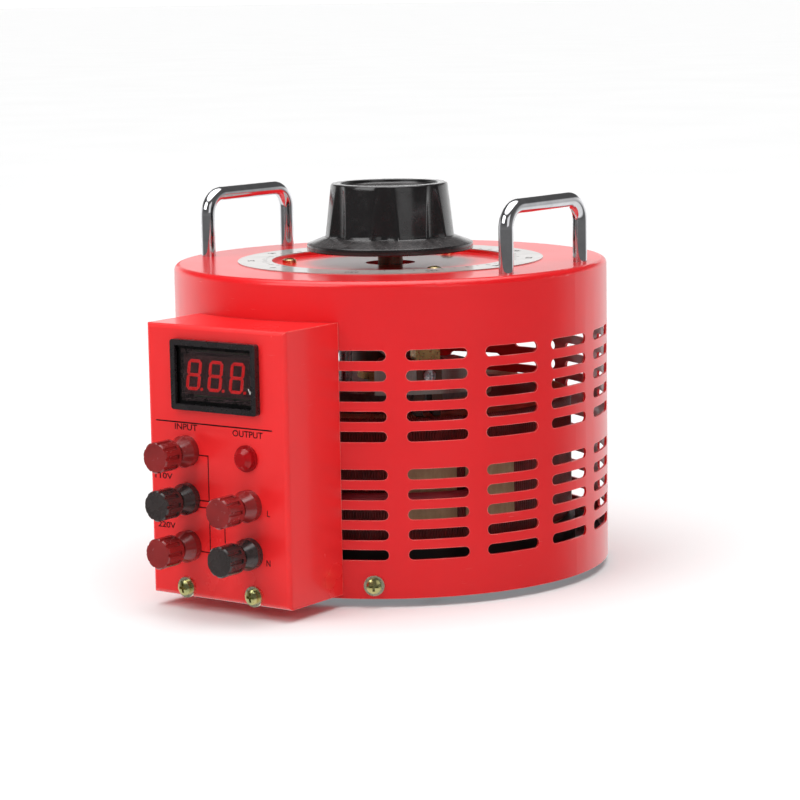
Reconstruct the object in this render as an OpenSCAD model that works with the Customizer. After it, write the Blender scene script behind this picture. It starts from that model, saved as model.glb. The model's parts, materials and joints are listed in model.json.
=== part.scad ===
// Bench variable autotransformer: a toroidal winding under a slotted drum cover,
// a brush arm turned by a top knob, and a front terminal box with voltmeter and posts.
// Millimetres, +Z up. Origin: shaft axis, on the underside of the steel base plate.
// The panel faces -Y. Angles on the drum are counted from -Y towards +X.

/* [Drum cover] */
// Outside diameter of the drum
drum_d = 208; // [204:1:216]
// Height of the drum above the underside of the base
drum_h = 144.2; // [138:0.2:152]
// Sheet thickness of the drum
drum_t = 1.2; // [0.8:0.1:1.6]
// Radius of the drum's rounded top edge
drum_edge_r = 3; // [2:0.5:5]
// Diameter of the shallow recess pressed into the drum's top
recess_d = 114; // [104:1:118]
// Depth of the recess
recess_h = 1.7; // [1:0.1:2.4]
// Hole in the drum's top that the shaft passes through
shaft_hole_d = 24; // [20:1:28]
// Seam left between the drum and what meets it
seam_gap = 0.3; // [0.1:0.1:0.6]

/* [Cooling slots] */
// Columns of slots round the drum
slot_cols = 16; // [8:1:16]
// Angle between two columns
slot_col_angle = 20.53; // [19:0.1:21]
// Length of a slot, end to end
slot_l = 28.2; // [16:0.2:30]
// Height of a slot
slot_h = 4.8; // [3:0.1:6]
// Distance between two rows
slot_pitch = 9.18; // [8:0.1:9.6]
// Rows in each of the two groups
slot_group_rows = 5; // [3:1:5]
// Extra distance between the two groups of rows
slot_group_gap = 8.1; // [4:0.1:10]
// First row's centre below the drum's top
slot_top_drop = 33.3; // [26:0.1:36]

/* [Terminal box] */
// Width of the box
box_w = 78.6; // [74:0.2:82]
// Height of the box
box_h = 124; // [118:0.5:128]
// Height of the box's lower edge above the base's underside
box_z = 1.9; // [1:0.1:3]
// How far the box's front stands in front of the drum
box_d = 32; // [30:0.1:38]
// Sheet thickness of the box
box_t = 1.2; // [0.8:0.1:1.6]
// Radius of the box's bent edges
box_edge_r = 2; // [1.6:0.2:3]
// Width of the wiring window between box and drum
window_w = 60; // [56:1:64]
// Height of the wiring window above the base
window_h = 112; // [90:1:118]

/* [Base] */
// Thickness of the base plate
base_t = 2; // [1.5:0.1:3]
// Height of the base plate's upturned rim
rim_h = 12; // [10.5:0.5:13]
// Thickness of the rim and of the front tongue
rim_t = 2; // [1.5:0.1:2.5]
// Width of the tongue that carries the terminal box
tongue_w = 57; // [50:1:58]
// Circle of the four fixing holes
fixing_pcd = 186; // [184:1:188]
// Diameter of a fixing hole
fixing_hole_d = 5.5; // [4.5:0.1:6]
// Height of a rubber foot
foot_h = 4; // [3:0.5:6]
// Diameter of a rubber foot
foot_d = 15; // [12:1:18]
// Circle on which the feet stand
foot_pcd = 120; // [100:2:140]

/* [Coil] */
// Outside diameter of the winding
coil_od = 173; // [166:1:174]
// Inside diameter of the winding
coil_id = 72; // [66:1:78]
// Height of the winding
coil_h = 59.4; // [54:0.2:62]
// Thickness of the wire layer outside, above and below the core
wire_t = 4; // [3:0.5:5]
// Thickness of the wire layer in the core's hole
wire_inner_t = 6; // [5:0.5:8]
// Radius of the winding's edges
coil_edge_r = 3; // [2:0.5:4]
// Thickness of the pressboard rings
board_t = 1; // [0.5:0.1:2]
// Height of the moulded seat under the coil
seat_h = 17.5; // [16:0.5:20]
// Clear width between the drum's sheet and the seat
seat_room = 14.8; // [13.8:0.1:16]
// Wall of the seat's skirt and deck
seat_wall = 4; // [3:0.5:6]
// Thickness of the fish paper on the coil
paper_t = 0.6; // [0.4:0.1:0.8]

/* [Clamp and shaft] */
// Diameter of the shaft
shaft_d = 12; // [10:0.5:14]
// Radial running clearance of the shaft in its bushes
bush_fit = 0.05; // [0.02:0.01:0.09]
// Wall of a bush
bush_wall = 3; // [2:0.5:4]
// Thickness of the clamp disc over the coil
clamp_t = 4; // [3:0.5:6]
// Diameter of the clamp disc
clamp_d = 92; // [88:1:96]
// Circle of the three tie bolts
tie_pcd = 56; // [54:1:57]
// Diameter of a tie bolt
tie_d = 5; // [4:0.5:6]
// Distance of the stop pin from the clamp disc's edge
stop_inset = 8; // [7:0.5:9]
// Diameter of the stop pin
stop_d = 6; // [4:0.5:7]

/* [Brush arm] */
// Angle of the brush arm at rest
arm_angle = 46.5; // [30:0.5:60]
// Height of the moulded hub between slip ring and arm
hub_body_h = 10.1; // [8:0.1:12]
// Thickness of the arm's plate
arm_t = 3; // [2:0.5:4]
// Width of the arm between hub and radiator
arm_w = 19; // [16:0.5:20]
// Angle over which the radiator spreads
radiator_angle = 33; // [28:1:44]
// Distance of the radiator's outer face from the shaft axis
radiator_r = 87; // [86:0.5:90]
// Width of the radiator plate, outwards
radiator_w = 25; // [22:1:27]
// Width of one carbon brush
brush_w = 3.4; // [3:0.1:3.6]
// Length of a carbon brush across the wires
brush_l = 9; // [8:0.5:10]
// Height of a carbon brush
brush_h = 21.3; // [19:0.1:22]
// Gap between the two carbon brushes
brush_split = 4.9; // [4.6:0.1:5.4]
// Play of a brush in its pocket, each side
brush_play = 0.1; // [0.05:0.05:0.2]

/* [Knob] */
// Diameter of the knob's skirt
skirt_d = 80; // [74:1:86]
// Thickness of the skirt
skirt_t = 3.3; // [2.5:0.1:4]
// Height of the skirt's sloped top over its rim
skirt_rise = 3.2; // [2:0.1:4.5]
// Skirt's underside above the drum's top
skirt_lift = 4.8; // [4:0.2:8]
// Diameter of the grip where it meets the skirt
grip_d = 62; // [58:1:66]
// Diameter of the grip at its top
grip_top_d = 56; // [54:1:60]
// Height of the knob over all
knob_h = 32; // [29:0.5:36]
// Number of finger flutes
flutes = 7; // [6:1:8]
// Depth of a flute at the skirt; it fades towards the top
flute_depth = 3.6; // [3.2:0.1:4.2]
// Radius of a flute
flute_r = 9; // [7:0.5:12]
// Angle of the flutes from the pointer
flute_turn = -16; // [-25:0.5:25]
// Diameter of the dished top
dish_d = 46.8; // [44:0.2:47.2]
// Wall of the hollow knob
knob_wall = 4; // [3:0.5:5]

/* [Dial and top screws] */
// Outside diameter of the dial, a printed foil ring round the recess
dial_d = 147; // [140:1:152]
// Thickness of the dial
dial_t = 0.4; // [0.3:0.1:0.8]
// Circle of the three brass screws in the recess
top_screw_pcd = 98; // [92:1:100]

/* [Handles] */
// Diameter of the handle rod
handle_rod_d = 6.8; // [6:0.1:7.4]
// Distance between the two legs of a handle
handle_span = 61; // [56:0.2:70]
// Height of a handle over the drum's top
handle_h = 33.4; // [30:0.1:40]
// Bend radius at the middle of the rod
handle_bend_r = 10; // [8:0.5:12]
// Distance of each handle from the drum's wall
handle_inset = 15; // [14:0.5:17]
// Angle by which the pair of handles is turned from the box's side faces
handle_turn = -1.8; // [-6:0.1:6]

/* [Voltmeter] */
// Width of the meter's bezel
meter_w = 48.2; // [46:0.2:50]
// Height of the meter's bezel
meter_h = 31.7; // [30:0.1:33]
// Thickness of the bezel
bezel_t = 3; // [2:0.1:4]
// Width of the bezel's frame
bezel_frame = 2.6; // [2:0.1:3]
// Depth of the meter's case behind the panel
case_depth = 18; // [14:1:22]
// Sideways place of the meter's middle
meter_x = 0.9; // [-2:0.1:2]
// Distance of its middle from the box's top
meter_drop = 22; // [20.9:0.1:22.9]
// Height of a digit
digit_h = 14; // [12:0.2:14.4]
// Width of a digit
digit_w = 7.8; // [7:0.1:8.2]
// Distance between two digits
digit_pitch = 12.2; // [11.6:0.1:12.6]
// Width of a lit segment
segment_w = 1.4; // [1:0.1:1.6]

/* [Pilot lamp] */
// Diameter of the lamp's lens
lamp_d = 9.8; // [9:0.2:12]
// How far the lens stands out of the panel
lamp_out = 5; // [4:0.5:7]
// Sideways place of the lamp
lamp_x = 16.9; // [14:0.1:20]
// Height of the lamp
lamp_z = 68.4; // [67:0.1:72]

/* [Binding posts] */
// Sideways distance of each row of posts from the middle
post_x = 17.5; // [16:0.5:19]
// Height of the lowest post
post_z = 25.5; // [23:0.5:27]
// Distance between two posts in a row
post_pitch = 21.7; // [20:0.1:22.5]
// Diameter of a post's stud
post_stud_d = 5; // [4:0.1:5.4]
// Diameter of the moulded foot on the panel
post_foot_d = 14.4; // [13.4:0.1:16]
// Height of the moulded foot
post_foot_h = 8.4; // [7:0.1:9]
// Diameter of the clamping cap
post_cap_d = 14; // [13:0.1:15.4]
// Front of the cap in front of the panel
post_reach = 22.2; // [21.4:0.1:25]

/* [Fasteners] */
// Thread diameter of the case screws
screw_d = 4; // [3:0.5:4]
// Diameter of a pan head
screw_head_d = 6.8; // [6:0.1:7.4]
// Diameter of a washer
washer_d = 9.4; // [9:0.1:10]
// Thickness of a washer
washer_t = 1; // [0.6:0.1:1.2]
// Angle of the drum's front screws
drum_screw_angle = 30; // [28:0.5:40]
// Height of the case screws above the base's underside
screw_z = 6.3; // [6.1:0.1:7]
// Sideways place of the box's screws
box_screw_x = 19.3; // [16:0.1:22]

/* [Wiring] */
// Diameter of an insulated lead
lead_d = 2.6; // [2:0.1:3]
// Diameter of the sleeved tap lead round the coil
tap_lead_d = 4; // [3:0.5:4.5]

/* [Hidden] */
$fn = 64;
// Clearance between two pieces of one body that are screwed or set together
touch = 0.05;
// Clearance between pieces that move past each other
run = 0.3;
// How far a cut runs past a face
over = 1;
// Sleeve on a lead's elbow, in diameter
elbow_swell = 0.6;
// Room behind the tongue's lip for the box screws' tips
screw_room = 5;

drum_r = drum_d / 2;
drum_in = drum_r - drum_t;
drum_top_in = drum_h - drum_t;
screw_tip = 1.5;                              // thread beyond the last sheet
recess_z = drum_h - recess_h;                 // floor of the recess
recess_in = recess_z - drum_t;
base_r = drum_in - seam_gap;
front_y = drum_r + box_d;                     // distance of the panel's front face
panel_in_y = front_y - box_t;
box_top = box_z + box_h;
meter_z = box_top - meter_drop;
handle_x = drum_r - handle_inset;
tongue_z = box_z + box_t + 0.2;
tongue_y = panel_in_y - seam_gap;             // distance of the tongue's front face

coil_r = coil_od / 2;
coil_in = coil_id / 2;
seat_d = 2 * (drum_in - seat_room);
deck_z = base_t + seat_h;                     // top of the seat
coil_z = deck_z + board_t;
coil_top = coil_z + coil_h;
clamp_z = coil_top + board_t;
clamp_top = clamp_z + clamp_t;
core_gap = 0.2;

shaft_r = shaft_d / 2;
bush_in = shaft_r + bush_fit;
bush_r = shaft_r + bush_wall;
bush_flange_r = bush_r + 3;
bush_flange_t = 1.5;
boss_r = bush_r + 4;
bush_l = 14;
collar_z = deck_z + bush_flange_t + run;
collar_h = 6;
shaft_z = deck_z - bush_l - over;

// Rotor heights
hub_z = clamp_top + bush_flange_t + over;
ring_h = 4;
ring_r = 17;
spigot_r = 11;
hub_body_z = hub_z + ring_h;
hub_r = 20;
neck_r = 12;
arm_z = hub_body_z + hub_body_h;
neck_h = 14.5;
rim_drop = 11;                                // radiator's rim below the arm's plate
radiator_rim = 2.4;
brush_z = coil_top + run;
holder_wall = 1.2;
leg_wall = 0.7;
holder_l = brush_l + 2 * (brush_play + holder_wall);
holder_w = 2 * brush_w + brush_split + 2 * (brush_play + leg_wall);
leg_gap = brush_split - 2 * (brush_play + leg_wall);
leg_top = arm_z - 8.5;
holder_out = sqrt(pow(radiator_r - radiator_rim, 2) - pow(holder_w / 2, 2)) - 2 * touch;
brush_r = holder_out - holder_l / 2;
holder_z = brush_z + 5.3;
holder_flange = 2;
holder_top = arm_z + arm_t + 1;
holder_front_w = 11.7;
holder_front_z = arm_z - 6.3;
cap_w = 11.4;
cap_h = 5;
spring_h = holder_top - brush_z - brush_h;
spring_d = 2.8;
spring_wire = 0.4;
spring_turns = 3;
arm_screw_d = 3;
arm_screw_head_d = 5.6;
arm_screw_r = (hub_r + neck_r) / 2;
holder_screw_z = holder_front_z + 3.9;
holder_screw_l = radiator_rim + 0.9;
stop_h = arm_z - clamp_top + arm_t - 0.5;
stop_r = clamp_d / 2 - stop_inset;

// Knob heights
skirt_z = drum_h + skirt_lift;
knob_top = skirt_z + knob_h;
knob_dish = 2;
hub_wall = 4;
shaft_end = knob_top - knob_dish - knob_wall - over;
grip_z = skirt_z + skirt_t + skirt_rise;
knob_screw_z = grip_z + 6;
pointer_w = 2;
pointer_h = 0.5;

// Binding posts, distances counted outwards from the panel's front face
stud_r = post_stud_d / 2;
spigot_d = 8;
clamp_washer_t = 0.8;
cap_start = post_foot_h + clamp_washer_t + 2 * run;
cap_end_t = 1.8;
stud_out = post_reach - cap_end_t - run;
insulator_t = 3;
nut_t = 3.2;
lug_t = 0.8;
stud_back = box_t + insulator_t + 2 * nut_t + lug_t + 2;
lug_l = 10;
lug_back = box_t + insulator_t + nut_t;
lug_y = front_y - lug_back - lug_t - lead_d / 2 - 4 * touch;
hex_factor = 1 / cos(30);

post_low = post_z;
post_mid = post_z + post_pitch;
post_high = post_z + 2 * post_pitch;
// x, z of each post
input_top_at = [-post_x, post_high];
input_middle_at = [-post_x, post_mid];
input_bottom_at = [-post_x, post_low];
output_live_at = [post_x, post_mid];
output_neutral_at = [post_x, post_low];
posts = [input_top_at, input_middle_at, input_bottom_at, output_live_at, output_neutral_at];
red_posts = [input_top_at, input_bottom_at, output_live_at];
black_posts = [input_middle_at, output_neutral_at];

top_screw_angles = [60, 180, 300];
tie_angles = [90, 210, 330];
drum_screw_angles = [drum_screw_angle, 180 - drum_screw_angle,
                     180 + drum_screw_angle, 360 - drum_screw_angle];
corner_angles = [45, 135, 225, 315];
handle_hole_d = screw_d + 0.4;
screw_hole_d = screw_d + 0.4;
lead_hole_at = [21.9, 21.9];

// ---------- helpers ----------

// Puts a piece that was drawn towards -Y at an angle round the drum
module at_angle(a) {
    rotate([0, 0, a]) children();
}

// Lays a piece that was drawn along +Z so that it points towards -Y
module facing_front() {
    rotate([90, 0, 0]) children();
}

// Puts a piece drawn along +Z on the panel's front face, pointing out of it
module on_panel(at) {
    translate([at[0], -front_y, at[1]]) facing_front() children();
}

module tube(r_out, r_in, h) {
    difference() {
        cylinder(r = r_out, h = h);
        translate([0, 0, -over]) cylinder(r = r_in, h = h + 2 * over);
    }
}

module ring_sector(r_out, r_in, h, angle) {
    rotate([0, 0, -90 - angle / 2]) rotate_extrude(angle = angle, $fn = 180)
        translate([r_in, 0]) square([r_out - r_in, h]);
}

// Rectangle centred on the origin, with round corners
module round_rect(w, h, r) {
    square([w - 2 * r, h], center = true);
    square([w, h - 2 * r], center = true);
    for (x = [-1, 1], y = [-1, 1])
        translate([x * (w / 2 - r), y * (h / 2 - r)]) circle(r = r);
}

module hex_nut(af, d, h) {
    difference() {
        cylinder(r = af / 2 * hex_factor, h = h, $fn = 6);
        translate([0, 0, -over]) cylinder(r = d / 2 + touch, h = h + 2 * over);
    }
}

// Pan-head screw with a cross recess: head above z = 0, thread below
module pan_screw(d, head_d, length) {
    head_h = head_d * 0.36;
    recess = head_d * 0.64;
    blade = head_d * 0.16;
    difference() {
        union() {
            intersection() {
                cylinder(d = head_d, h = head_h);
                translate([0, 0, head_h - head_d]) sphere(r = head_d);
            }
            translate([0, 0, -length]) cylinder(d = d, h = length);
        }
        for (a = [0, 90]) rotate([0, 0, a])
            translate([-recess / 2, -blade / 2, head_h * 0.4])
                cube([recess, blade, head_h]);
    }
}

// A lead along a list of points
module lead(points, d) {
    for (i = [0 : len(points) - 2]) {
        step = points[i + 1] - points[i];
        reach = norm(step);
        translate(points[i])
            rotate([0, acos(step[2] / reach), atan2(step[1], step[0])])
                cylinder(d = d, h = reach, $fn = 24);
    }
    for (i = [1 : len(points) - 2])
        translate(points[i]) sphere(d = d + elbow_swell, $fn = 24);
}

// ---------- base ----------

module base_plate() {
    color("dimgray") difference() {
        union() {
            cylinder(r = base_r, h = base_t);
            tube(base_r, base_r - rim_t, rim_h);
            translate([-tongue_w / 2, -tongue_y, tongue_z])
                cube([tongue_w, tongue_y - base_r + rim_t, rim_t]);
            translate([-tongue_w / 2, -tongue_y, tongue_z])
                cube([tongue_w, rim_t, rim_h - tongue_z]);
        }
        for (a = corner_angles) at_angle(a) {
            translate([0, -fixing_pcd / 2, -over])
                cylinder(d = fixing_hole_d, h = base_t + 2 * over);
            translate([0, -foot_pcd / 2, -over])
                cylinder(d = screw_d + 2 * touch, h = base_t + 2 * over);
        }
        for (a = tie_angles) at_angle(a)
            translate([0, -tie_pcd / 2, -over])
                cylinder(d = tie_d + 2 * touch, h = base_t + 2 * over);
        for (a = drum_screw_angles) at_angle(a)
            translate([0, -base_r + rim_t + over, screw_z]) facing_front()
                cylinder(d = screw_d + 2 * touch, h = rim_t + 2 * over);
        for (x = [-box_screw_x, box_screw_x])
            translate([x, -tongue_y + rim_t + screw_room, screw_z]) facing_front()
                cylinder(d = screw_d + 2 * touch, h = rim_t + screw_room + over);
    }
}

module rubber_feet() {
    color("black") for (a = corner_angles) at_angle(a)
        translate([0, -foot_pcd / 2, -foot_h]) difference() {
            union() {
                cylinder(d = foot_d - 2, h = 1);
                translate([0, 0, 1]) cylinder(d = foot_d, h = foot_h - 1);
            }
            translate([0, 0, -over]) cylinder(d = screw_d + 0.4, h = foot_h + 2 * over);
            translate([0, 0, -over]) cylinder(d = screw_head_d + 0.6, h = foot_h / 2 + 0.6 + over);
        }
}

// ---------- drum cover ----------

module drum_profile(r, h, edge) {
    square([r - edge, h]);
    square([r, h - edge]);
    translate([r - edge, h - edge]) circle(r = edge);
}

module slot_column() {
    translate([0, -drum_in + 4, 0]) facing_front() linear_extrude(drum_t + 4 + over)
        for (group = [0, 1], row = [0 : slot_group_rows - 1]) {
            steps = group * slot_group_rows + row;
            z = drum_h - slot_top_drop - steps * slot_pitch - group * slot_group_gap;
            translate([0, z]) {
                square([slot_l - slot_h, slot_h], center = true);
                for (x = [-1, 1]) translate([x * (slot_l - slot_h) / 2, 0])
                    circle(d = slot_h, $fn = 24);
            }
        }
}

module drum_cover() {
    first = 180 - (slot_cols - 1) / 2 * slot_col_angle;
    color("crimson") difference() {
        rotate_extrude($fn = 180) difference() {
            drum_profile(drum_r, drum_h, drum_edge_r);
            difference() {
                translate([0, -over])
                    drum_profile(drum_in, drum_top_in + over, drum_edge_r - drum_t);
                translate([0, recess_in]) square([recess_d / 2 + drum_t, drum_h]);
            }
            translate([0, recess_z]) square([recess_d / 2, drum_h]);
            translate([0, recess_in - over]) square([shaft_hole_d / 2, drum_h]);
        }
        for (i = [0 : slot_cols - 1]) at_angle(first + i * slot_col_angle) slot_column();
        translate([-window_w / 2, -drum_r - over, -over])
            cube([window_w, drum_r / 2, window_h + over]);
        for (a = drum_screw_angles) at_angle(a)
            translate([0, -drum_in + 2, screw_z]) facing_front()
                cylinder(d = screw_hole_d, h = drum_t + 4);
        for (a = top_screw_angles) at_angle(a)
            translate([0, -top_screw_pcd / 2, recess_in - over])
                cylinder(d = screw_hole_d, h = drum_t + 2 * over);
        handle_leg_places() translate([0, 0, drum_top_in - over])
            cylinder(d = handle_hole_d, h = drum_t + 2 * over);
    }
}

// ---------- terminal box ----------

// Solid block of the box, grown inwards by s, with bent edges of radius r
module box_block(s, r) {
    depth = front_y - s;
    intersection() {
        translate([0, 0, box_z]) linear_extrude(box_h) {
            translate([-box_w / 2 + s, -depth + r]) square([box_w - 2 * s, depth - r]);
            translate([-box_w / 2 + s + r, -depth]) square([box_w - 2 * s - 2 * r, depth]);
            for (x = [-1, 1]) translate([x * (box_w / 2 - s - r), -depth + r]) circle(r = r);
        }
        translate([box_w, 0, 0]) rotate([90, 0, -90]) linear_extrude(2 * box_w) {
            translate([0, box_z + s]) square([depth - r, box_h - 2 * s]);
            translate([0, box_z + s + r]) square([depth, box_h - 2 * s - 2 * r]);
            for (z = [box_z + s + r, box_top - s - r])
                translate([depth - r, z]) circle(r = r);
        }
    }
}

module panel_box() {
    back_r = drum_r + seam_gap;
    color("red") difference() {
        box_block(0, box_edge_r);
        translate([0, 0, -over]) cylinder(r = back_r, h = box_top + 2 * over, $fn = 180);
        difference() {
            box_block(box_t, box_edge_r - box_t);
            translate([0, 0, -over])
                cylinder(r = back_r + box_t, h = box_top + 2 * over, $fn = 180);
        }
        translate([-window_w / 2, -back_r - 2 * box_t, box_z + box_t])
            cube([window_w, back_r, box_h - 2 * box_t]);
        on_panel([meter_x, meter_z]) translate([0, 0, -box_t - over])
            linear_extrude(box_t + 2 * over)
                square([meter_w - 2 * bezel_frame, meter_h - 2 * bezel_frame + 2], center = true);
        for (at = posts) on_panel(at) translate([0, 0, -box_t - over])
            cylinder(d = spigot_d + 2 * touch, h = box_t + 2 * over);
        on_panel([lamp_x, lamp_z]) translate([0, 0, -box_t - over])
            cylinder(d = lamp_shank_d + 2 * touch, h = box_t + 2 * over);
        for (x = [-box_screw_x, box_screw_x]) on_panel([x, screw_z])
            translate([0, 0, -box_t - over]) cylinder(d = screw_hole_d, h = box_t + 2 * over);
    }
}

// ---------- case fasteners ----------

module case_screw_places() {
    for (a = drum_screw_angles) at_angle(a)
        translate([0, -drum_r, screw_z]) facing_front() children();
    for (x = [-box_screw_x, box_screw_x])
        translate([x, -front_y, screw_z]) facing_front() children();
}

module case_screws() {
    color("gold") case_screw_places() translate([0, 0, washer_t])
        pan_screw(screw_d, screw_head_d, washer_t + box_t + seam_gap + rim_t + screw_tip);
}

module case_washers() {
    color("khaki") case_screw_places() tube(washer_d / 2, screw_hole_d / 2, washer_t);
}

// ---------- handles ----------

// Every leg's foot, at the height of the base
module handle_leg_places() {
    rotate([0, 0, handle_turn]) for (x = [-1, 1], y = [-1, 1])
        translate([x * handle_x, y * handle_span / 2, 0]) children();
}

module handle() {
    r = handle_rod_d / 2;
    half = handle_span / 2;
    bend = handle_bend_r;
    leg = handle_h - r - bend;
    thread_depth = 12;
    difference() {
        union() {
            for (y = [-half, half]) translate([0, y, drum_h]) cylinder(r = r, h = leg);
            translate([0, -half + bend, drum_h + leg + bend]) rotate([-90, 0, 0])
                cylinder(r = r, h = handle_span - 2 * bend);
            for (side = [0, 180]) rotate([0, 0, side])
                translate([0, half - bend, drum_h + leg]) rotate([90, 0, 90])
                    rotate_extrude(angle = 90) translate([bend, 0]) circle(r = r);
        }
        for (y = [-half, half]) translate([0, y, drum_h - over])
            cylinder(d = screw_d + 2 * touch, h = thread_depth + over);
    }
}

module handle_left() {
    color("silver") rotate([0, 0, handle_turn]) translate([-handle_x, 0, 0]) handle();
}

module handle_right() {
    color("silver") rotate([0, 0, handle_turn]) translate([handle_x, 0, 0]) handle();
}

// The same screws hold the handles from inside and the feet from below
module zinc_screws() {
    foot_recess = foot_h / 2 + 0.6;
    color("silver") {
        handle_leg_places() translate([0, 0, drum_top_in]) rotate([180, 0, 0])
            pan_screw(screw_d, screw_head_d, drum_t + 9);
        for (a = corner_angles) at_angle(a)
            translate([0, -foot_pcd / 2, -foot_h + foot_recess]) rotate([180, 0, 0])
                pan_screw(screw_d, screw_head_d, foot_h - foot_recess + base_t + 3);
    }
}

// ---------- dial and top screws ----------

module dial_plate() {
    color("gainsboro") translate([0, 0, drum_h])
        tube(dial_d / 2, recess_d / 2 + 2 * touch, dial_t);
}

module top_screws() {
    color("gold") for (a = top_screw_angles) at_angle(a)
        translate([0, -top_screw_pcd / 2, recess_z])
            pan_screw(screw_d, screw_head_d, drum_t + nut_t + 1);
}

module top_nuts() {
    color("silver") for (a = top_screw_angles) at_angle(a)
        translate([0, -top_screw_pcd / 2, recess_in - nut_t]) hex_nut(7, screw_d, nut_t);
}

// ---------- voltmeter ----------

meter_in_w = meter_w - 2 * bezel_frame;
meter_in_h = meter_h - 2 * bezel_frame;
case_wall = 1.2;
case_w = meter_in_w - 0.4;
case_h = meter_in_h + 1.6;
window_back = 0.2;
window_t = 1.2;
board_back = 9;

module meter_case() {
    color([0.08, 0.08, 0.09]) on_panel([meter_x, meter_z]) difference() {
        union() {
            linear_extrude(bezel_t) round_rect(meter_w, meter_h, 1.5);
            translate([0, 0, -box_t - case_depth]) linear_extrude(box_t + case_depth)
                square([case_w, case_h], center = true);
        }
        translate([0, 0, window_back]) linear_extrude(bezel_t)
            square([meter_in_w, meter_in_h], center = true);
        translate([0, 0, -box_t - case_depth + case_wall])
            linear_extrude(box_t + case_depth + bezel_t)
                square([case_w - 2 * case_wall, case_h - 4 * case_wall], center = true);
    }
}

module meter_window() {
    color([0.2, 0.03, 0.04, 0.6]) on_panel([meter_x, meter_z])
        translate([0, 0, window_back]) linear_extrude(window_t)
            square([meter_in_w - 2 * touch, meter_in_h - 2 * touch], center = true);
}

module meter_board() {
    board_thickness = 1.6;
    color("darkgreen") on_panel([meter_x, meter_z])
        translate([0, 0, -board_back - board_thickness]) linear_extrude(board_thickness)
            square([case_w - 2 * case_wall - 2 * touch, case_h - 4 * case_wall - 2 * touch],
                   center = true);
}

module led_module() {
    face = -0.8;
    color([0.05, 0.05, 0.05]) on_panel([meter_x, meter_z])
        translate([0, 0, -board_back]) linear_extrude(board_back + face)
            square([3 * digit_pitch + 0.6, digit_h + 4], center = true);
}

// One flat segment with pointed ends, lying along x
module segment(length) {
    half = length / 2 - 0.15;
    wide = segment_w / 2;
    polygon([[-half, 0], [-half + wide, wide], [half - wide, wide],
             [half, 0], [half - wide, -wide], [-half + wide, -wide]]);
}

module digit() {
    w = digit_w - segment_w;
    h = (digit_h - segment_w) / 2;
    for (y = [-h, 0, h]) translate([0, y]) segment(w);
    for (x = [-w / 2, w / 2], y = [-h / 2, h / 2])
        translate([x, y]) rotate(90) segment(h);
    translate([w / 2 + 1.9, -h]) circle(d = segment_w, $fn = 24);
}

module led_segments() {
    face = -0.8;
    lean = tan(8);
    color("red") on_panel([meter_x, meter_z]) translate([-0.8, 0, face])
        multmatrix([[1, lean, 0, 0], [0, 1, 0, 0], [0, 0, 1, 0], [0, 0, 0, 1]])
            linear_extrude(0.3) for (i = [-1, 0, 1]) translate([i * digit_pitch, 0]) digit();
}

// ---------- pilot lamp ----------

lamp_shank_d = lamp_d - 1.8;
lamp_shank_l = 16;
lamp_flange_t = 1;
lamp_bore_d = lamp_shank_d - 2.7;

module lamp_body() {
    color("red") on_panel([lamp_x, lamp_z]) difference() {
        union() {
            cylinder(d = lamp_d + 2.2, h = lamp_flange_t);
            translate([0, 0, -box_t - lamp_shank_l])
                cylinder(d = lamp_shank_d, h = box_t + lamp_shank_l);
        }
        translate([0, 0, -2]) cylinder(d = lamp_bore_d, h = 4);
    }
}

module lamp_lens() {
    bevel = 2;
    color([0.9, 0.05, 0.05, 0.7]) on_panel([lamp_x, lamp_z]) difference() {
        union() {
            translate([0, 0, lamp_flange_t])
                cylinder(d = lamp_d, h = lamp_out - lamp_flange_t - bevel);
            translate([0, 0, lamp_out - bevel])
                cylinder(d1 = lamp_d, d2 = lamp_d - 2 * bevel, h = bevel);
            translate([0, 0, -1.8]) cylinder(d = lamp_bore_d - 4 * touch, h = 3);
        }
        translate([0, 0, -over - 1.8]) cylinder(d = 3, h = lamp_out);
    }
}

module lamp_nut() {
    color("silver") on_panel([lamp_x, lamp_z]) translate([0, 0, -box_t - 2.5])
        hex_nut(lamp_shank_d + 3, lamp_shank_d, 2.5);
}

// ---------- binding posts ----------

module post_foot() {
    neck_d = post_foot_d - 4.6;
    flange = 3.4;
    difference() {
        union() {
            cylinder(d = post_foot_d, h = flange);
            translate([0, 0, flange])
                cylinder(d1 = post_foot_d, d2 = neck_d, h = post_foot_h - flange);
            translate([0, 0, -box_t + touch]) cylinder(d = spigot_d, h = box_t);
        }
        translate([0, 0, -box_t - over])
            cylinder(d = post_stud_d + 2 * touch, h = box_t + post_foot_h + 2 * over);
    }
}

module red_post_feet() {
    color("red") for (at = red_posts) on_panel(at) post_foot();
}

module black_post_feet() {
    color("black") for (at = black_posts) on_panel(at) post_foot();
}

module post_studs() {
    color("gold") for (at = posts) on_panel(at)
        translate([0, 0, -stud_back]) cylinder(r = stud_r, h = stud_back + stud_out);
}

module post_insulators() {
    color("black") for (at = posts) on_panel(at)
        translate([0, 0, -box_t - insulator_t])
            tube(post_foot_d / 2 - 1, stud_r + touch, insulator_t);
}

module post_nuts() {
    color("silver") for (at = posts) on_panel(at) {
        translate([0, 0, -box_t - insulator_t - nut_t]) hex_nut(8, post_stud_d, nut_t);
        translate([0, 0, -lug_back - lug_t - nut_t]) hex_nut(8, post_stud_d, nut_t);
    }
}

module post_lugs() {
    color("khaki") for (at = posts) on_panel(at)
        translate([0, 0, -lug_back - lug_t]) difference() {
            union() {
                cylinder(r = stud_r + 2.4, h = lug_t);
                translate([-1.6, 0, 0]) cube([3.2, lug_l, lug_t]);
            }
            translate([0, 0, -over]) cylinder(r = stud_r + touch, h = lug_t + 2 * over);
        }
}

module clamp_washer() {
    translate([0, 0, post_foot_h + run]) tube(4.4, stud_r + bush_fit, clamp_washer_t);
}

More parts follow.
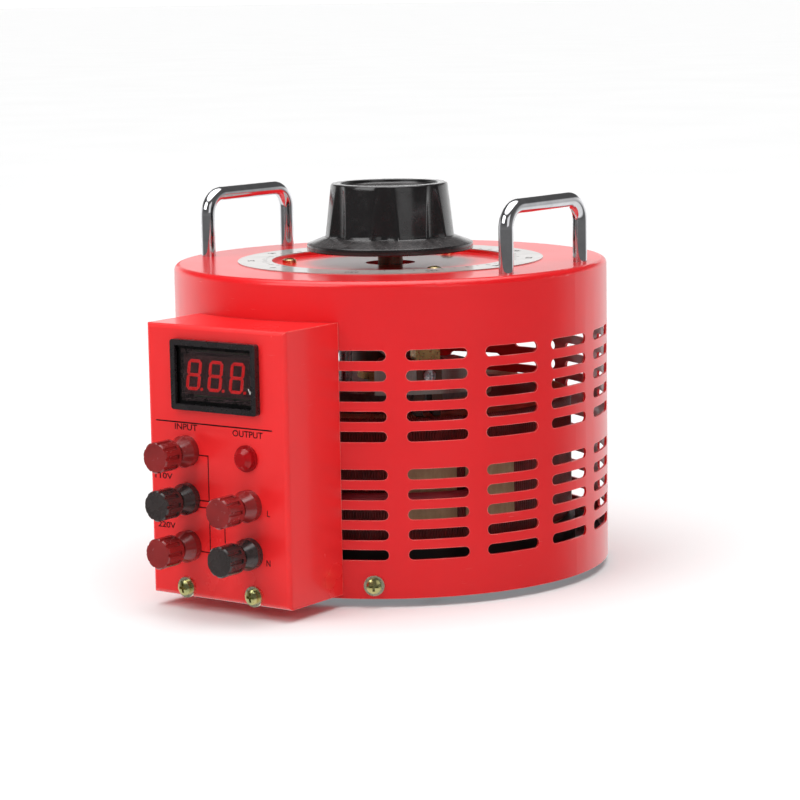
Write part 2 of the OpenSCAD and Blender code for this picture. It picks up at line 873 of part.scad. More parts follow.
module post_cap() {
    grooves = 10;
    groove_r = 1.1;
    collar_d = post_cap_d - 4.6;
    collar = 2;
    band = 1.6;
    bevel = 0.6;
    difference() {
        union() {
            translate([0, 0, cap_start]) cylinder(d = collar_d, h = post_reach - cap_start);
            translate([0, 0, cap_start + collar])
                cylinder(d = post_cap_d, h = post_reach - cap_start - collar - bevel);
            translate([0, 0, post_reach - bevel])
                cylinder(d1 = post_cap_d, d2 = post_cap_d - 2 * bevel, h = bevel);
        }
        translate([0, 0, cap_start - over])
            cylinder(r = stud_r + bush_fit, h = post_reach - cap_end_t - cap_start + over);
        for (i = [0 : grooves - 1]) rotate([0, 0, i * 360 / grooves])
            translate([post_cap_d / 2 + groove_r / 3, 0, cap_start + collar + band])
                cylinder(r = groove_r, h = post_reach, $fn = 24);
    }
}

module input_top_washer() { color("silver") on_panel(input_top_at) clamp_washer(); }
module input_middle_washer() { color("silver") on_panel(input_middle_at) clamp_washer(); }
module input_bottom_washer() { color("silver") on_panel(input_bottom_at) clamp_washer(); }
module output_live_washer() { color("silver") on_panel(output_live_at) clamp_washer(); }
module output_neutral_washer() { color("silver") on_panel(output_neutral_at) clamp_washer(); }

module input_top_cap() { color("red") on_panel(input_top_at) post_cap(); }
module input_middle_cap() { color("black") on_panel(input_middle_at) post_cap(); }
module input_bottom_cap() { color("red") on_panel(input_bottom_at) post_cap(); }
module output_live_cap() { color("red") on_panel(output_live_at) post_cap(); }
module output_neutral_cap() { color("black") on_panel(output_neutral_at) post_cap(); }

// ---------- coil ----------

module coil_profile(s, r) {
    translate([coil_in + s, coil_z + s]) {
        w = coil_r - coil_in - 2 * s;
        h = coil_h - 2 * s;
        translate([w / 2, h / 2]) round_rect(w, h, r);
    }
}

module core_profile(s) {
    translate([coil_in + wire_inner_t + s, coil_z + wire_t + s])
        square([coil_r - coil_in - wire_t - wire_inner_t - 2 * s, coil_h - 2 * wire_t - 2 * s]);
}

module core() {
    color("slategray") rotate_extrude($fn = 180) core_profile(core_gap);
}

module winding() {
    color("maroon") rotate_extrude($fn = 180) difference() {
        coil_profile(0, coil_edge_r);
        core_profile(0);
    }
}

module pressboard_rings() {
    color("tan") {
        translate([0, 0, deck_z]) tube(coil_r - coil_edge_r, coil_in, board_t);
        translate([0, 0, coil_top]) tube(clamp_d / 2 + 2, coil_in, board_t);
    }
}

paper_from = 31;
paper_to = 66;
paper_spans = [[36, 54.6], [57.5, 75]];
tap_lead_z = 44;
tap_lead_from = 2;
tap_lead_to = 58;
tap_lead_rise = 8;

module fish_paper() {
    color("tan") for (span = paper_spans)
        at_angle((span[0] + span[1]) / 2) translate([0, 0, paper_from])
            ring_sector(coil_r + touch + paper_t, coil_r + touch, paper_to - paper_from,
                        span[1] - span[0]);
}

tap_lead_r = coil_r + touch + paper_t + (tap_lead_d + elbow_swell) / 2 + 0.1;

module tap_lead() {
    span = tap_lead_to - tap_lead_from;
    color("darkred") translate([0, 0, tap_lead_z]) {
        at_angle(tap_lead_from + span / 2) rotate([0, 0, -90 - span / 2])
            rotate_extrude(angle = span, $fn = 120) translate([tap_lead_r, 0])
                circle(d = tap_lead_d, $fn = 32);
        at_angle(tap_lead_to) translate([0, -tap_lead_r, 0]) cylinder(d = tap_lead_d, h = tap_lead_rise);
        at_angle(tap_lead_to) translate([0, -tap_lead_r, 0]) sphere(d = tap_lead_d + elbow_swell);
    }
}

module coil_seat() {
    pillar_r = 6;
    color([0.1, 0.1, 0.1]) difference() {
        union() {
            translate([0, 0, deck_z - seat_wall]) cylinder(d = seat_d, h = seat_wall);
            translate([0, 0, base_t]) tube(seat_d / 2, seat_d / 2 - seat_wall, seat_h);
            translate([0, 0, deck_z - bush_l]) cylinder(r = boss_r, h = bush_l);
            for (a = tie_angles) at_angle(a)
                translate([0, -tie_pcd / 2, base_t]) cylinder(r = pillar_r, h = seat_h);
        }
        translate([0, 0, base_t]) cylinder(r = bush_r + touch, h = seat_h + over);
        for (a = tie_angles) at_angle(a)
            translate([0, -tie_pcd / 2, 0]) cylinder(d = tie_d + 2 * touch, h = deck_z + over);
        translate([lead_hole_at[0], lead_hole_at[1], 0]) cylinder(d = lead_d + 3, h = deck_z + over);
        translate([-window_w / 2 + 4, -seat_d / 2 - over, base_t + 4])
            cube([window_w - 8, 2 * seat_wall, seat_h - seat_wall - 4]);
    }
}

module clamp_disc() {
    color("dimgray") difference() {
        union() {
            translate([0, 0, clamp_z]) cylinder(d = clamp_d, h = clamp_t);
            translate([0, 0, clamp_top - bush_l]) cylinder(r = boss_r, h = bush_l);
        }
        translate([0, 0, clamp_top - bush_l - over])
            cylinder(r = bush_r + touch, h = bush_l + 2 * over);
        for (a = tie_angles) at_angle(a) translate([0, -tie_pcd / 2, clamp_z - over])
            cylinder(d = tie_d + 2 * touch, h = clamp_t + 2 * over);
        translate([lead_hole_at[0], lead_hole_at[1], clamp_z - over])
            cylinder(d = lead_d + 3, h = clamp_t + 2 * over);
        translate([0, -stop_r, clamp_z - over])
            cylinder(d = stop_d + 2 * touch, h = clamp_t + 2 * over);
    }
}

module tie_bolts() {
    color("silver") for (a = tie_angles) at_angle(a) translate([0, -tie_pcd / 2, 0]) {
        translate([0, 0, 0.2]) cylinder(d = tie_d, h = clamp_top);
        translate([0, 0, clamp_top]) cylinder(r = 4 * hex_factor, h = 3.5, $fn = 6);
    }
}

module shaft_bushes() {
    color("gold") for (z = [deck_z, clamp_top]) {
        translate([0, 0, z - bush_l]) tube(bush_r, bush_in, bush_l);
        translate([0, 0, z]) tube(bush_flange_r, bush_in, bush_flange_t);
    }
}

module stop_pin() {
    color("silver") translate([0, -stop_r, clamp_z]) cylinder(d = stop_d, h = clamp_t + stop_h);
}

// Spring blade on a brass block that takes the current off the slip ring
contact_angle = 70;
contact_block = [7, 6, 4.6];
contact_x = 20;
blade_t = 0.5;

module brush_contact() {
    blade_y = ring_r + run;
    color("gold") at_angle(contact_angle) {
        translate([contact_x, -blade_y - contact_block[1], clamp_top]) cube(contact_block);
        translate([-6, -blade_y - blade_t, clamp_top + 2])
            cube([contact_x + 6, blade_t, contact_block[2] - 2]);
    }
}

// ---------- wiring ----------

// Where a lead meets the coil: its x, and its height over the post
input_top_tap = [-16, 3];
input_middle_tap = [-13, 8];
input_bottom_tap = [-10, 12.5];
neutral_tap = [8, 8.5];
lead_out = 6;
lead_in = 7;
lead_hump = 2;

// Runs from a post's lug back to the coil
module coil_lead(at, tap) {
    z = at[1] + tap[1];
    coil_y = sqrt(pow(coil_r + 4 * touch, 2) - tap[0] * tap[0]);
    lead([[at[0], -lug_y, at[1] + lug_l - lead_d],
          [at[0], -lug_y + lead_out, at[1] + lug_l + lead_hump],
          [tap[0], -coil_y - lead_in, z],
          [tap[0], -coil_y - lead_d / 2, z]], lead_d);
}

module input_leads() {
    color("firebrick") {
        coil_lead(input_top_at, input_top_tap);
        coil_lead(input_middle_at, input_middle_tap);
        coil_lead(input_bottom_at, input_bottom_tap);
    }
}

module output_leads() {
    hole = lead_hole_at;
    under = deck_z - seat_wall - lead_d;
    rise_x = output_live_at[0] + lead_out;
    seat_x = 14;
    color("black") {
        coil_lead(output_neutral_at, neutral_tap);
        lead([[output_live_at[0], -lug_y, output_live_at[1] + lug_l - lead_d],
              [rise_x, -lug_y + 5, output_live_at[1] + lug_l - lead_hump],
              [rise_x, -lug_y + 10, output_neutral_at[1]],
              [seat_x, -seat_d / 2 - lead_out, under],
              [hole[0], hole[1], under],
              [hole[0], hole[1], clamp_top + 2.3],
              [hole[0] + 1.6, hole[1] - 2.2, clamp_top + 2.3]], lead_d);
    }
}

// ---------- rotor ----------

module shaft() {
    color("sienna") {
        translate([0, 0, shaft_z]) cylinder(r = shaft_r, h = shaft_end - shaft_z);
        translate([0, 0, collar_z]) cylinder(r = bush_r, h = collar_h);
    }
}

module knob_flutes() {
    for (i = [0 : flutes - 1]) at_angle(arm_angle + flute_turn + i * 360 / flutes)
        translate([0, -grip_d / 2 - flute_r + flute_depth, grip_z])
            cylinder(r = flute_r, h = knob_h);
}

// Raised line on the skirt's slope, over the brush arm
module knob_pointer() {
    rim_z = skirt_z + skirt_t;
    inner = grip_d / 2 - 1;
    outer = skirt_d / 2 - 1;
    at_angle(arm_angle) translate([pointer_w / 2, 0, 0]) rotate([90, 0, -90])
        linear_extrude(pointer_w)
            polygon([[inner, rim_z], [outer, rim_z],
                     [outer, rim_z + pointer_h], [inner, grip_z + pointer_h]]);
}

module knob() {
    bore_top = shaft_end + run;
    hollow_top = knob_top - knob_dish - knob_wall;
    hollow_r = grip_top_d / 2 - flute_depth - knob_wall;
    color([0.12, 0.12, 0.12]) difference() {
        union() {
            translate([0, 0, skirt_z]) cylinder(d = skirt_d, h = skirt_t);
            translate([0, 0, skirt_z + skirt_t])
                cylinder(d1 = skirt_d, d2 = grip_d, h = skirt_rise);
            knob_pointer();
            difference() {
                translate([0, 0, grip_z])
                    cylinder(d1 = grip_d, d2 = grip_top_d, h = knob_top - grip_z);
                knob_flutes();
            }
        }
        translate([0, 0, knob_top - knob_dish]) cylinder(d = dish_d, h = knob_dish + over);
        difference() {
            translate([0, 0, skirt_z - over])
                cylinder(r = hollow_r, h = hollow_top - skirt_z + over);
            translate([0, 0, skirt_z]) cylinder(r = shaft_r + hub_wall, h = knob_h);
        }
        translate([0, 0, skirt_z - over])
            cylinder(r = shaft_r + touch, h = bore_top - skirt_z + over);
        at_angle(arm_angle + 180) translate([0, 0, knob_screw_z]) facing_front()
            cylinder(d = screw_d + 2 * touch, h = grip_d);
    }
}

module knob_screw() {
    length = hub_wall + 3;
    color("gray") at_angle(arm_angle + 180)
        translate([0, -shaft_r - 2 * touch, knob_screw_z]) facing_front() difference() {
            cylinder(d = screw_d, h = length);
            translate([0, 0, length - 2]) cylinder(r = 1.2, h = 3, $fn = 6);
        }
}

module arm_hub() {
    color([0.15, 0.12, 0.1]) difference() {
        union() {
            translate([0, 0, hub_z]) cylinder(r = spigot_r, h = ring_h);
            translate([0, 0, hub_body_z]) cylinder(r = hub_r, h = hub_body_h);
            translate([0, 0, arm_z]) cylinder(r = neck_r, h = neck_h);
        }
        translate([0, 0, hub_z - over])
            cylinder(r = shaft_r + touch, h = ring_h + hub_body_h + neck_h + 2 * over);
        for (a = [0, 180]) at_angle(arm_angle + 90 + a)
            translate([0, -arm_screw_r, hub_body_z - over])
                cylinder(d = arm_screw_d + 2 * touch, h = hub_body_h + 2 * over);
    }
}

module brush_arm() {
    pad_r = hub_r;
    color("lightgray") at_angle(arm_angle) difference() {
        union() {
            translate([0, 0, arm_z]) cylinder(r = pad_r, h = arm_t);
            translate([-arm_w / 2, -radiator_r + radiator_w - 4, arm_z])
                cube([arm_w, radiator_r - radiator_w + 4, arm_t]);
            rotate([0, 0, -90 - radiator_angle / 2])
                rotate_extrude(angle = radiator_angle, $fn = 180) {
                    translate([radiator_r - radiator_w, arm_z]) square([radiator_w, arm_t]);
                    translate([radiator_r - radiator_rim, arm_z - rim_drop])
                        square([radiator_rim, rim_drop + arm_t]);
                }
        }
        translate([0, 0, arm_z - over]) cylinder(r = neck_r + touch, h = arm_t + 2 * over);
        // The brush holder's pocket in the plate and its window in the rim
        translate([-holder_w / 2 - touch, -holder_out - touch, arm_z - over])
            cube([holder_w + 2 * touch, holder_l + 2 * touch, arm_t + 2 * over]);
        translate([-holder_front_w / 2 - touch, -radiator_r - over, holder_front_z - touch])
            cube([holder_front_w + 2 * touch, radiator_rim + 2 * over, rim_drop + arm_t]);
        for (a = [90, 270]) at_angle(a)
            translate([0, -arm_screw_r, arm_z - over])
                cylinder(d = arm_screw_d + 2 * touch, h = arm_t + 2 * over);
    }
}

module slip_ring() {
    color("gold") translate([0, 0, hub_z]) tube(ring_r, spigot_r + touch, ring_h - touch);
}

// Moulded block hung in the arm's plate by its flange, with a leg round each brush
module brush_holder() {
    pocket = [brush_w + 2 * brush_play, brush_l + 2 * brush_play];
    flange_w = holder_w + 2 * holder_flange;
    color("saddlebrown") at_angle(arm_angle) difference() {
        union() {
            translate([-holder_w / 2, -holder_out, holder_z])
                cube([holder_w, holder_l, holder_top - holder_z]);
            translate([-holder_front_w / 2, -radiator_r, holder_front_z])
                cube([holder_front_w, radiator_rim + 1, holder_top - holder_front_z]);
            translate([-flange_w / 2, -holder_out, arm_z + arm_t])
                cube([flange_w, holder_l, holder_top - arm_z - arm_t]);
        }
        for (x = [-1, 1]) translate([x * (brush_w + brush_split) / 2, -brush_r, 0])
            translate([-pocket[0] / 2, -pocket[1] / 2, holder_z - over])
                cube([pocket[0], pocket[1], holder_top - holder_z + 2 * over]);
        translate([-leg_gap / 2, -holder_out - over, holder_z - over])
            cube([leg_gap, holder_l + 2 * over, leg_top - holder_z + over]);
        translate([0, -radiator_r - over, holder_screw_z]) rotate([-90, 0, 0])
            cylinder(d = arm_screw_d + 2 * touch, h = holder_screw_l + over);
    }
}

// Brass cover that closes the pockets and takes the springs
module brush_cap() {
    color("goldenrod") at_angle(arm_angle)
        translate([-cap_w / 2, -holder_out, holder_top]) cube([cap_w, holder_l, cap_h]);
}

module arm_screws() {
    color("silver") {
        for (side = [90, 270]) at_angle(arm_angle + side)
            translate([0, -arm_screw_r, arm_z + arm_t])
                pan_screw(arm_screw_d, arm_screw_head_d, arm_t + hub_body_h - 0.2);
        at_angle(arm_angle) translate([0, -radiator_r, holder_screw_z]) facing_front()
            pan_screw(arm_screw_d, arm_screw_head_d, holder_screw_l - 0.3);
    }
}

module carbon_brushes() {
    color([0.25, 0.18, 0.14]) at_angle(arm_angle)
        for (x = [-1, 1]) translate([x * (brush_w + brush_split) / 2, -brush_r, brush_z])
            translate([-brush_w / 2, -brush_l / 2, 0]) cube([brush_w, brush_l, brush_h]);
}

module brush_springs() {
    color("silver") at_angle(arm_angle)
        for (x = [-1, 1])
            translate([x * (brush_w + brush_split) / 2, -brush_r, brush_z + brush_h + touch])
                linear_extrude(spring_h - 2 * touch, twist = -360 * spring_turns, $fn = 12,
                               slices = 14 * spring_turns)
                    translate([spring_d / 2 - spring_wire, 0]) circle(r = spring_wire, $fn = 8);
}

// ---------- nodes ----------

base_plate();
rubber_feet();
drum_cover();
panel_box();
case_screws();
case_washers();
handle_left();
handle_right();
zinc_screws();
dial_plate();
top_screws();
top_nuts();
meter_case();
meter_window();
meter_board();
led_module();
led_segments();
lamp_lens();
lamp_body();
lamp_nut();
red_post_feet();
black_post_feet();
post_studs();
post_insulators();
post_nuts();
post_lugs();
input_top_washer();
input_middle_washer();
input_bottom_washer();
output_live_washer();
output_neutral_washer();
input_top_cap();
input_middle_cap();
input_bottom_cap();
output_live_cap();
output_neutral_cap();
core();
winding();
pressboard_rings();
fish_paper();
tap_lead();
coil_seat();
clamp_disc();
tie_bolts();
shaft_bushes();
stop_pin();
brush_contact();
input_leads();
output_leads();
shaft();
knob();
knob_screw();
arm_hub();
brush_arm();
slip_ring();
brush_holder();
brush_cap();
arm_screws();
carbon_brushes();
brush_springs();
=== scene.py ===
"""Looks of the bench variable autotransformer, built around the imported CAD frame.

Everything is in metres in the frame's own axes: +Z up the shaft, -Y out of the front panel.
Angles on the drum are counted from -Y towards +X, as in the CAD source.
"""
import json
import math

import bmesh
import bpy
from mathutils import Matrix, Vector
from mathutils.bvhtree import BVHTree


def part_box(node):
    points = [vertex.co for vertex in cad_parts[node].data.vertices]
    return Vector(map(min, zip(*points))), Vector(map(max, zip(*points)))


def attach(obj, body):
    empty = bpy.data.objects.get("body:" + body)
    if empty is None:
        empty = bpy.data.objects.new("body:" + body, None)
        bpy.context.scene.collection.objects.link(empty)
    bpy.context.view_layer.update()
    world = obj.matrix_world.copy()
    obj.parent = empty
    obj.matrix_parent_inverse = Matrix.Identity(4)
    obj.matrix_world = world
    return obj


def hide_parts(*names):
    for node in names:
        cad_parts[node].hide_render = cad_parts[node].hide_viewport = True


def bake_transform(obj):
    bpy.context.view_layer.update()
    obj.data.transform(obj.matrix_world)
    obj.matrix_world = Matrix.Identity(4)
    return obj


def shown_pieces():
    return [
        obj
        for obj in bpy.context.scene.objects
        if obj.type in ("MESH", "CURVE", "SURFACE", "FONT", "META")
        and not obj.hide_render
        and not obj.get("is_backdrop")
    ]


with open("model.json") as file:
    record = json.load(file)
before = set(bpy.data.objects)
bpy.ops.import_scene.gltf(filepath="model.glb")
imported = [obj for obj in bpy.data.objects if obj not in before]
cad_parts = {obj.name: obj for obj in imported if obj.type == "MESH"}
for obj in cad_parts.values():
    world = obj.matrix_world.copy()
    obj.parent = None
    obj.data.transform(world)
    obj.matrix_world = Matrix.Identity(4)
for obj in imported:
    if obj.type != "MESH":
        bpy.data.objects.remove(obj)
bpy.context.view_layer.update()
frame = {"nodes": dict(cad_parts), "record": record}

MM = 0.001
NODES = frame["nodes"]

# ---------- image points, in the photograph's 800 x 800 frame ----------

FRAME_W, FRAME_H = 800, 800
EDGE_POINTS = {"left_x": 144.0, "right_x": 607.5, "top_y": 178.5, "bottom_y": 611.5}
IMAGE_POINTS = {
    "box_front_top_left": (147.0, 322.5),
    "box_front_bottom_right": (288.7, 611.2),
    "box_back_top_right": (337.0, 322.0),
    "drum_screw": (373.5, 586.0),
    "box_screw_left": (186.5, 586.5),
    "lamp": (244.5, 458.0),
    "word_input": (186.0, 427.0),
    "word_output": (247.5, 434.5),
    "mark_110v": (164.0, 475.5),
    "mark_220v": (167.0, 524.5),
    "mark_live": (268.5, 514.0),
    "mark_neutral": (268.5, 563.5),
    "panel_rule": (213.9, 425.4),
    "meter_unit": (250.0, 392.0),
    "handle_left_bar": (247.1, 190.5),
    "handle_right_bar": (542.7, 201.5),
}

# ---------- camera ----------

CAMERA_AZIMUTH = 35.208
CAMERA_ELEVATION = 8.584
CAMERA_ROLL = -0.950
CAMERA_DISTANCE = 1.31206
CAMERA_AIM = Vector((0.00289, 0.00205, 0.07522))
CAMERA_LENS = 121.488
SENSOR_WIDTH = 36.0


def make_camera():
    a, e = math.radians(CAMERA_AZIMUTH), math.radians(CAMERA_ELEVATION)
    back = Vector((math.sin(a) * math.cos(e), -math.cos(a) * math.cos(e), math.sin(e)))
    data = bpy.data.cameras.new("camera")
    data.sensor_fit = "AUTO"
    data.sensor_width = SENSOR_WIDTH
    data.lens = CAMERA_LENS
    data.clip_start, data.clip_end = 0.01, 200
    camera = bpy.data.objects.new("camera", data)
    bpy.context.scene.collection.objects.link(camera)
    camera.location = CAMERA_AIM + back * CAMERA_DISTANCE
    turn = (-back).to_track_quat("-Z", "Y").to_matrix()
    camera.rotation_euler = (turn @ Matrix.Rotation(math.radians(CAMERA_ROLL), 3, "Z")).to_euler()
    bpy.context.scene.camera = camera
    bpy.context.view_layer.update()
    return camera


CAMERA = make_camera()


def to_image(point):
    """Where a point in the frame lands in the photograph's frame."""
    seen = CAMERA.matrix_world.inverted() @ Vector(point)
    per_length = max(FRAME_W, FRAME_H) * CAMERA.data.lens / CAMERA.data.sensor_width
    return (FRAME_W / 2 - per_length * seen.x / seen.z, FRAME_H / 2 + per_length * seen.y / seen.z)


SEARCH_STEP = 5 * MM
SEARCH_STEPS = 60


def on_surface(image_point, carrier):
    """The place on carrier's mesh behind an image point, or the one nearest to its ray."""
    x, y = image_point
    side = max(FRAME_W, FRAME_H)
    shift_x, shift_y = CAMERA.data.shift_x, CAMERA.data.shift_y
    reach = side * CAMERA.data.lens / CAMERA.data.sensor_width
    ray = Vector((x - FRAME_W / 2 + shift_x * side, FRAME_H / 2 - y + shift_y * side, -reach))
    ray = (CAMERA.matrix_world.to_3x3() @ ray).normalized()
    start = CAMERA.matrix_world.translation
    tree = BVHTree.FromObject(carrier, bpy.context.evaluated_depsgraph_get())
    hit = tree.ray_cast(start, ray)[0]
    if hit is None:
        along = [CAMERA_DISTANCE + SEARCH_STEP * i for i in range(-SEARCH_STEPS, SEARCH_STEPS)]
        steps = [start + ray * distance for distance in along]
        near = [(tree.find_nearest(place), place) for place in steps]
        hit = min(near, key=lambda found: found[0][3])[0][0]
    return hit


# ---------- materials ----------


def add_ramp(tree, source, stops):
    """A ramp of (position, grey or colour) stops, read off a 0 to 1 source."""
    made = tree.nodes.new("ShaderNodeValToRGB")
    elements = made.color_ramp.elements
    while len(elements) < len(stops):
        elements.new(0.5)
    for element, (position, value) in zip(elements, stops):
        element.position = position
        grey = isinstance(value, (int, float))
        element.color = (value, value, value, 1) if grey else (*value, 1)
    tree.links.new(source, made.inputs["Fac"])
    return made.outputs["Color"]


class Finish:
    """A node material in the making. Its textures read the frame's own coordinates in metres."""

    def __init__(self, name, **sockets):
        self.material = bpy.data.materials.new(name)
        self.material.use_nodes = True
        self.tree = self.material.node_tree
        self.shader = self.tree.nodes["Principled BSDF"]
        self.place = self.tree.nodes.new("ShaderNodeTexCoord").outputs["Object"]
        for socket, value in sockets.items():
            title = socket.replace("_", " ").title().replace("Ior", "IOR")
            self.shader.inputs[title].default_value = value

    def node(self, kind, **values):
        made = self.tree.nodes.new("ShaderNode" + kind)
        for key, value in values.items():
            setattr(made, key, value)
        return made

    def link(self, output, target):
        self.tree.links.new(output, target)

    def stretched(self, scale):
        """The frame's coordinates, multiplied along each axis."""
        mapping = self.node("Mapping")
        mapping.inputs["Scale"].default_value = scale
        self.link(self.place, mapping.inputs["Vector"])
        return mapping.outputs["Vector"]

    def noise(self, per_metre, detail=3.0, rough=0.55, place=None):
        made = self.node("TexNoise")
        made.inputs["Scale"].default_value = per_metre
        made.inputs["Detail"].default_value = detail
        made.inputs["Roughness"].default_value = rough
        self.link(place or self.place, made.inputs["Vector"])
        return made.outputs["Fac"]

    def ramp(self, source, *stops):
        return add_ramp(self.tree, source, stops)

    def mix(self, factor, low, high):
        made = self.node("Mix", data_type="RGBA")
        for value, socket in ((factor, 0), (low, 6), (high, 7)):
            if isinstance(value, tuple):
                made.inputs[socket].default_value = (*value, 1)
            elif isinstance(value, float):
                made.inputs[socket].default_value = value
            else:
                self.link(value, made.inputs[socket])
        return made.outputs[2]

    def math(self, operation, first, second=0.0):
        made = self.node("Math", operation=operation)
        for index, value in enumerate((first, second)):
            if isinstance(value, (int, float)):
                made.inputs[index].default_value = value
            else:
                self.link(value, made.inputs[index])
        return made.outputs[0]

    def axis(self, name):
        """One coordinate of the frame: X, Y or Z, in metres."""
        made = self.node("SeparateXYZ")
        self.link(self.place, made.inputs[0])
        return made.outputs[name]

    def from_axis(self):
        """Distance from the shaft's axis, in metres."""
        flat = self.stretched((1, 1, 0))
        made = self.node("VectorMath", operation="LENGTH")
        self.link(flat, made.inputs[0])
        return made.outputs["Value"]

    def facing_up(self):
        """1 on faces that look up, 0 on upright ones and those that look down."""
        made = self.node("SeparateXYZ")
        self.link(self.node("NewGeometry").outputs["Normal"], made.inputs[0])
        return made.outputs["Z"]

    def colour(self, source):
        self.link(source, self.shader.inputs["Base Color"])

    def roughness(self, source):
        self.link(source, self.shader.inputs["Roughness"])

    def bump(self, height, distance, strength=0.5):
        made = self.node("Bump")
        made.inputs["Strength"].default_value = strength
        made.inputs["Distance"].default_value = distance
        self.link(height, made.inputs["Height"])
        previous = self.shader.inputs["Normal"].links
        if previous:
            self.link(previous[0].from_socket, made.inputs["Normal"])
        self.link(made.outputs["Normal"], self.shader.inputs["Normal"])

    def edges(self, radius):
        """1 on sharp edges, 0 on open faces, from how far a rounded normal leans away."""
        rounded = self.node("Bevel", samples=4)
        rounded.inputs["Radius"].default_value = radius
        dot = self.node("VectorMath", operation="DOT_PRODUCT")
        self.link(rounded.outputs[0], dot.inputs[0])
        self.link(self.node("NewGeometry").outputs["Normal"], dot.inputs[1])
        return self.ramp(self.math("SUBTRACT", 1.0, dot.outputs["Value"]), (0.0, 0.0), (0.25, 1.0))


def shade(colour, factor):
    return tuple(min(1.0, channel * factor) for channel in colour)


# Reach and colour of the lighter enamel edges: partly worn paint, partly a painted highlight on the
# edges.
EDGE_WEAR_AND_HIGHLIGHT_R = 0.6 * MM
WORN_AND_HIGHLIGHT_RED = (0.97, 0.36, 0.32)
SCUFFED_RED = (0.92, 0.30, 0.27)
# Pinkish grey mixed in, in patches, on plastic faces that look up.
UPWARD_TONE = (0.42, 0.38, 0.38)


def enamel(name, red, rough):
    """Sprayed gloss enamel: faint orange peel and clouding, a few scuffs, and lighter edges that
    are partly worn paint and partly a painted highlight.
    """
    made = Finish(name, coat_weight=0.3, coat_roughness=0.05, roughness=rough)
    cloud = made.ramp(made.noise(22, 4), (0.1, shade(red, 0.94)), (0.9, shade(red, 1.05)))
    scratch = made.noise(90, 2, 0.5, made.stretched((1, 1, 9)))
    scuffs = made.math("MULTIPLY", made.ramp(scratch, (0.72, 0.0), (0.80, 0.35)),
                       made.ramp(made.noise(14, 2), (0.56, 0.0), (0.66, 1.0)))
    marked = made.mix(scuffs, cloud, SCUFFED_RED)
    patchy = made.ramp(made.noise(140, 2), (0.35, 0.35), (0.65, 0.9))
    # Lighter red on sharp edges: partly worn paint, partly a painted highlight standing in for the
    # glint of a rounded edge.
    made.colour(made.mix(made.math("MULTIPLY", made.edges(EDGE_WEAR_AND_HIGHLIGHT_R), patchy), marked, WORN_AND_HIGHLIGHT_RED))
    made.roughness(made.ramp(made.noise(25, 5), (0.0, rough - 0.04), (1.0, rough + 0.04)))
    made.bump(made.noise(420, 2), 0.03 * MM, 0.06)
    return made.material


def plastic(name, colour, rough, coat=0.2, grain=1500, upward_share=0.0):
    """Moulded plastic: fine grain, slight clouding, and a lighter pinkish grey in patches where it
    faces up.
    """
    made = Finish(name, coat_weight=coat, coat_roughness=0.12, roughness=rough)
    cloud = made.ramp(made.noise(90, 4), (0.25, shade(colour, 0.8)), (0.75, shade(colour, 1.2)))
    if upward_share:
        # Lighter pinkish grey on faces that look up, in patches.
        lying = made.ramp(made.facing_up(), (0.35, 0.0), (1.0, upward_share))
        patchy = made.ramp(made.noise(260, 5, 0.7), (0.35, 0.25), (0.75, 1.0))
        cloud = made.mix(made.math("MULTIPLY", lying, patchy), cloud, UPWARD_TONE)
    made.colour(cloud)
    made.roughness(made.ramp(made.noise(240, 4), (0.3, rough - 0.06), (0.7, rough + 0.1)))
    made.bump(made.noise(grain, 3), 0.02 * MM, 0.35)
    return made.material


def plated(name, colour, tint, rough, grain=900):
    """Plated or turned metal whose tone wanders between two tints, with fine scratches."""
    made = Finish(name, metallic=1.0, roughness=rough)
    wander = made.ramp(made.noise(240, 3), (0.35, colour), (0.65, tint))
    grime = made.ramp(made.noise(520, 4, 0.7), (0.3, 0.55), (0.5, 1.0))
    made.colour(made.mix(grime, shade(colour, 0.45), wander))
    made.roughness(made.ramp(made.noise(700, 3), (0.3, rough - 0.05), (0.7, rough + 0.12)))
    made.bump(made.noise(grain, 4, 0.7), 0.02 * MM, 0.3)
    return made.material


def chrome(name):
    """Bright chrome: clean and mirror-like, with faint haze and a few fine pits."""
    made = Finish(name, metallic=1.0, roughness=0.06)
    haze = made.noise(160, 4, 0.6)
    made.colour(made.ramp(haze, (0.3, (0.62, 0.62, 0.64)), (0.7, (0.74, 0.74, 0.76))))
    made.roughness(made.ramp(haze, (0.3, 0.04), (0.8, 0.12)))
    made.bump(made.noise(1400, 3, 0.7), 0.01 * MM, 0.2)
    return made.material


def brushed(name, colour, rough, along):
    """Rolled or drawn metal with its grain along one direction."""
    made = Finish(name, metallic=1.0, roughness=rough)
    grain = made.noise(220, 4, 0.6, made.stretched(along))
    made.colour(made.ramp(grain, (0.3, shade(colour, 0.75)), (0.7, colour)))
    made.roughness(made.ramp(grain, (0.25, rough - 0.07), (0.75, rough + 0.12)))
    made.bump(grain, 0.03 * MM, 0.3)
    return made.material


def clear(name, colour, through, rough=0.04, emission=0.0):
    """Tinted clear plastic, with the faint ripple of a moulding."""
    made = Finish(name, roughness=rough, transmission_weight=through, ior=1.4,
                  specular_ior_level=0.4)
    dark, light = shade(colour, 0.92), shade(colour, 1.05)
    made.colour(made.ramp(made.noise(150, 2), (0.3, dark), (0.7, light)))
    made.bump(made.noise(180, 2), 0.1 * MM, 0.15)
    if emission:
        made.shader.inputs["Emission Color"].default_value = (*colour, 1)
        made.shader.inputs["Emission Strength"].default_value = emission
    return made.material


def dial_print():
    """Satin printed ring under a clear lacquer."""
    made = Finish("dial_print", coat_weight=0.5, coat_roughness=0.08, roughness=0.28)
    made.colour(made.ramp(made.noise(70, 4), (0.3, (0.40, 0.37, 0.35)), (0.7, (0.52, 0.49, 0.47))))
    made.bump(made.noise(500, 3), 0.03 * MM, 0.2)
    return made.material


COIL_LOW, COIL_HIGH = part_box("winding")
TRACK_IN, TRACK_OUT = 72 * MM, 84.5 * MM
TRACK_Z = COIL_HIGH.z - 0.8 * MM


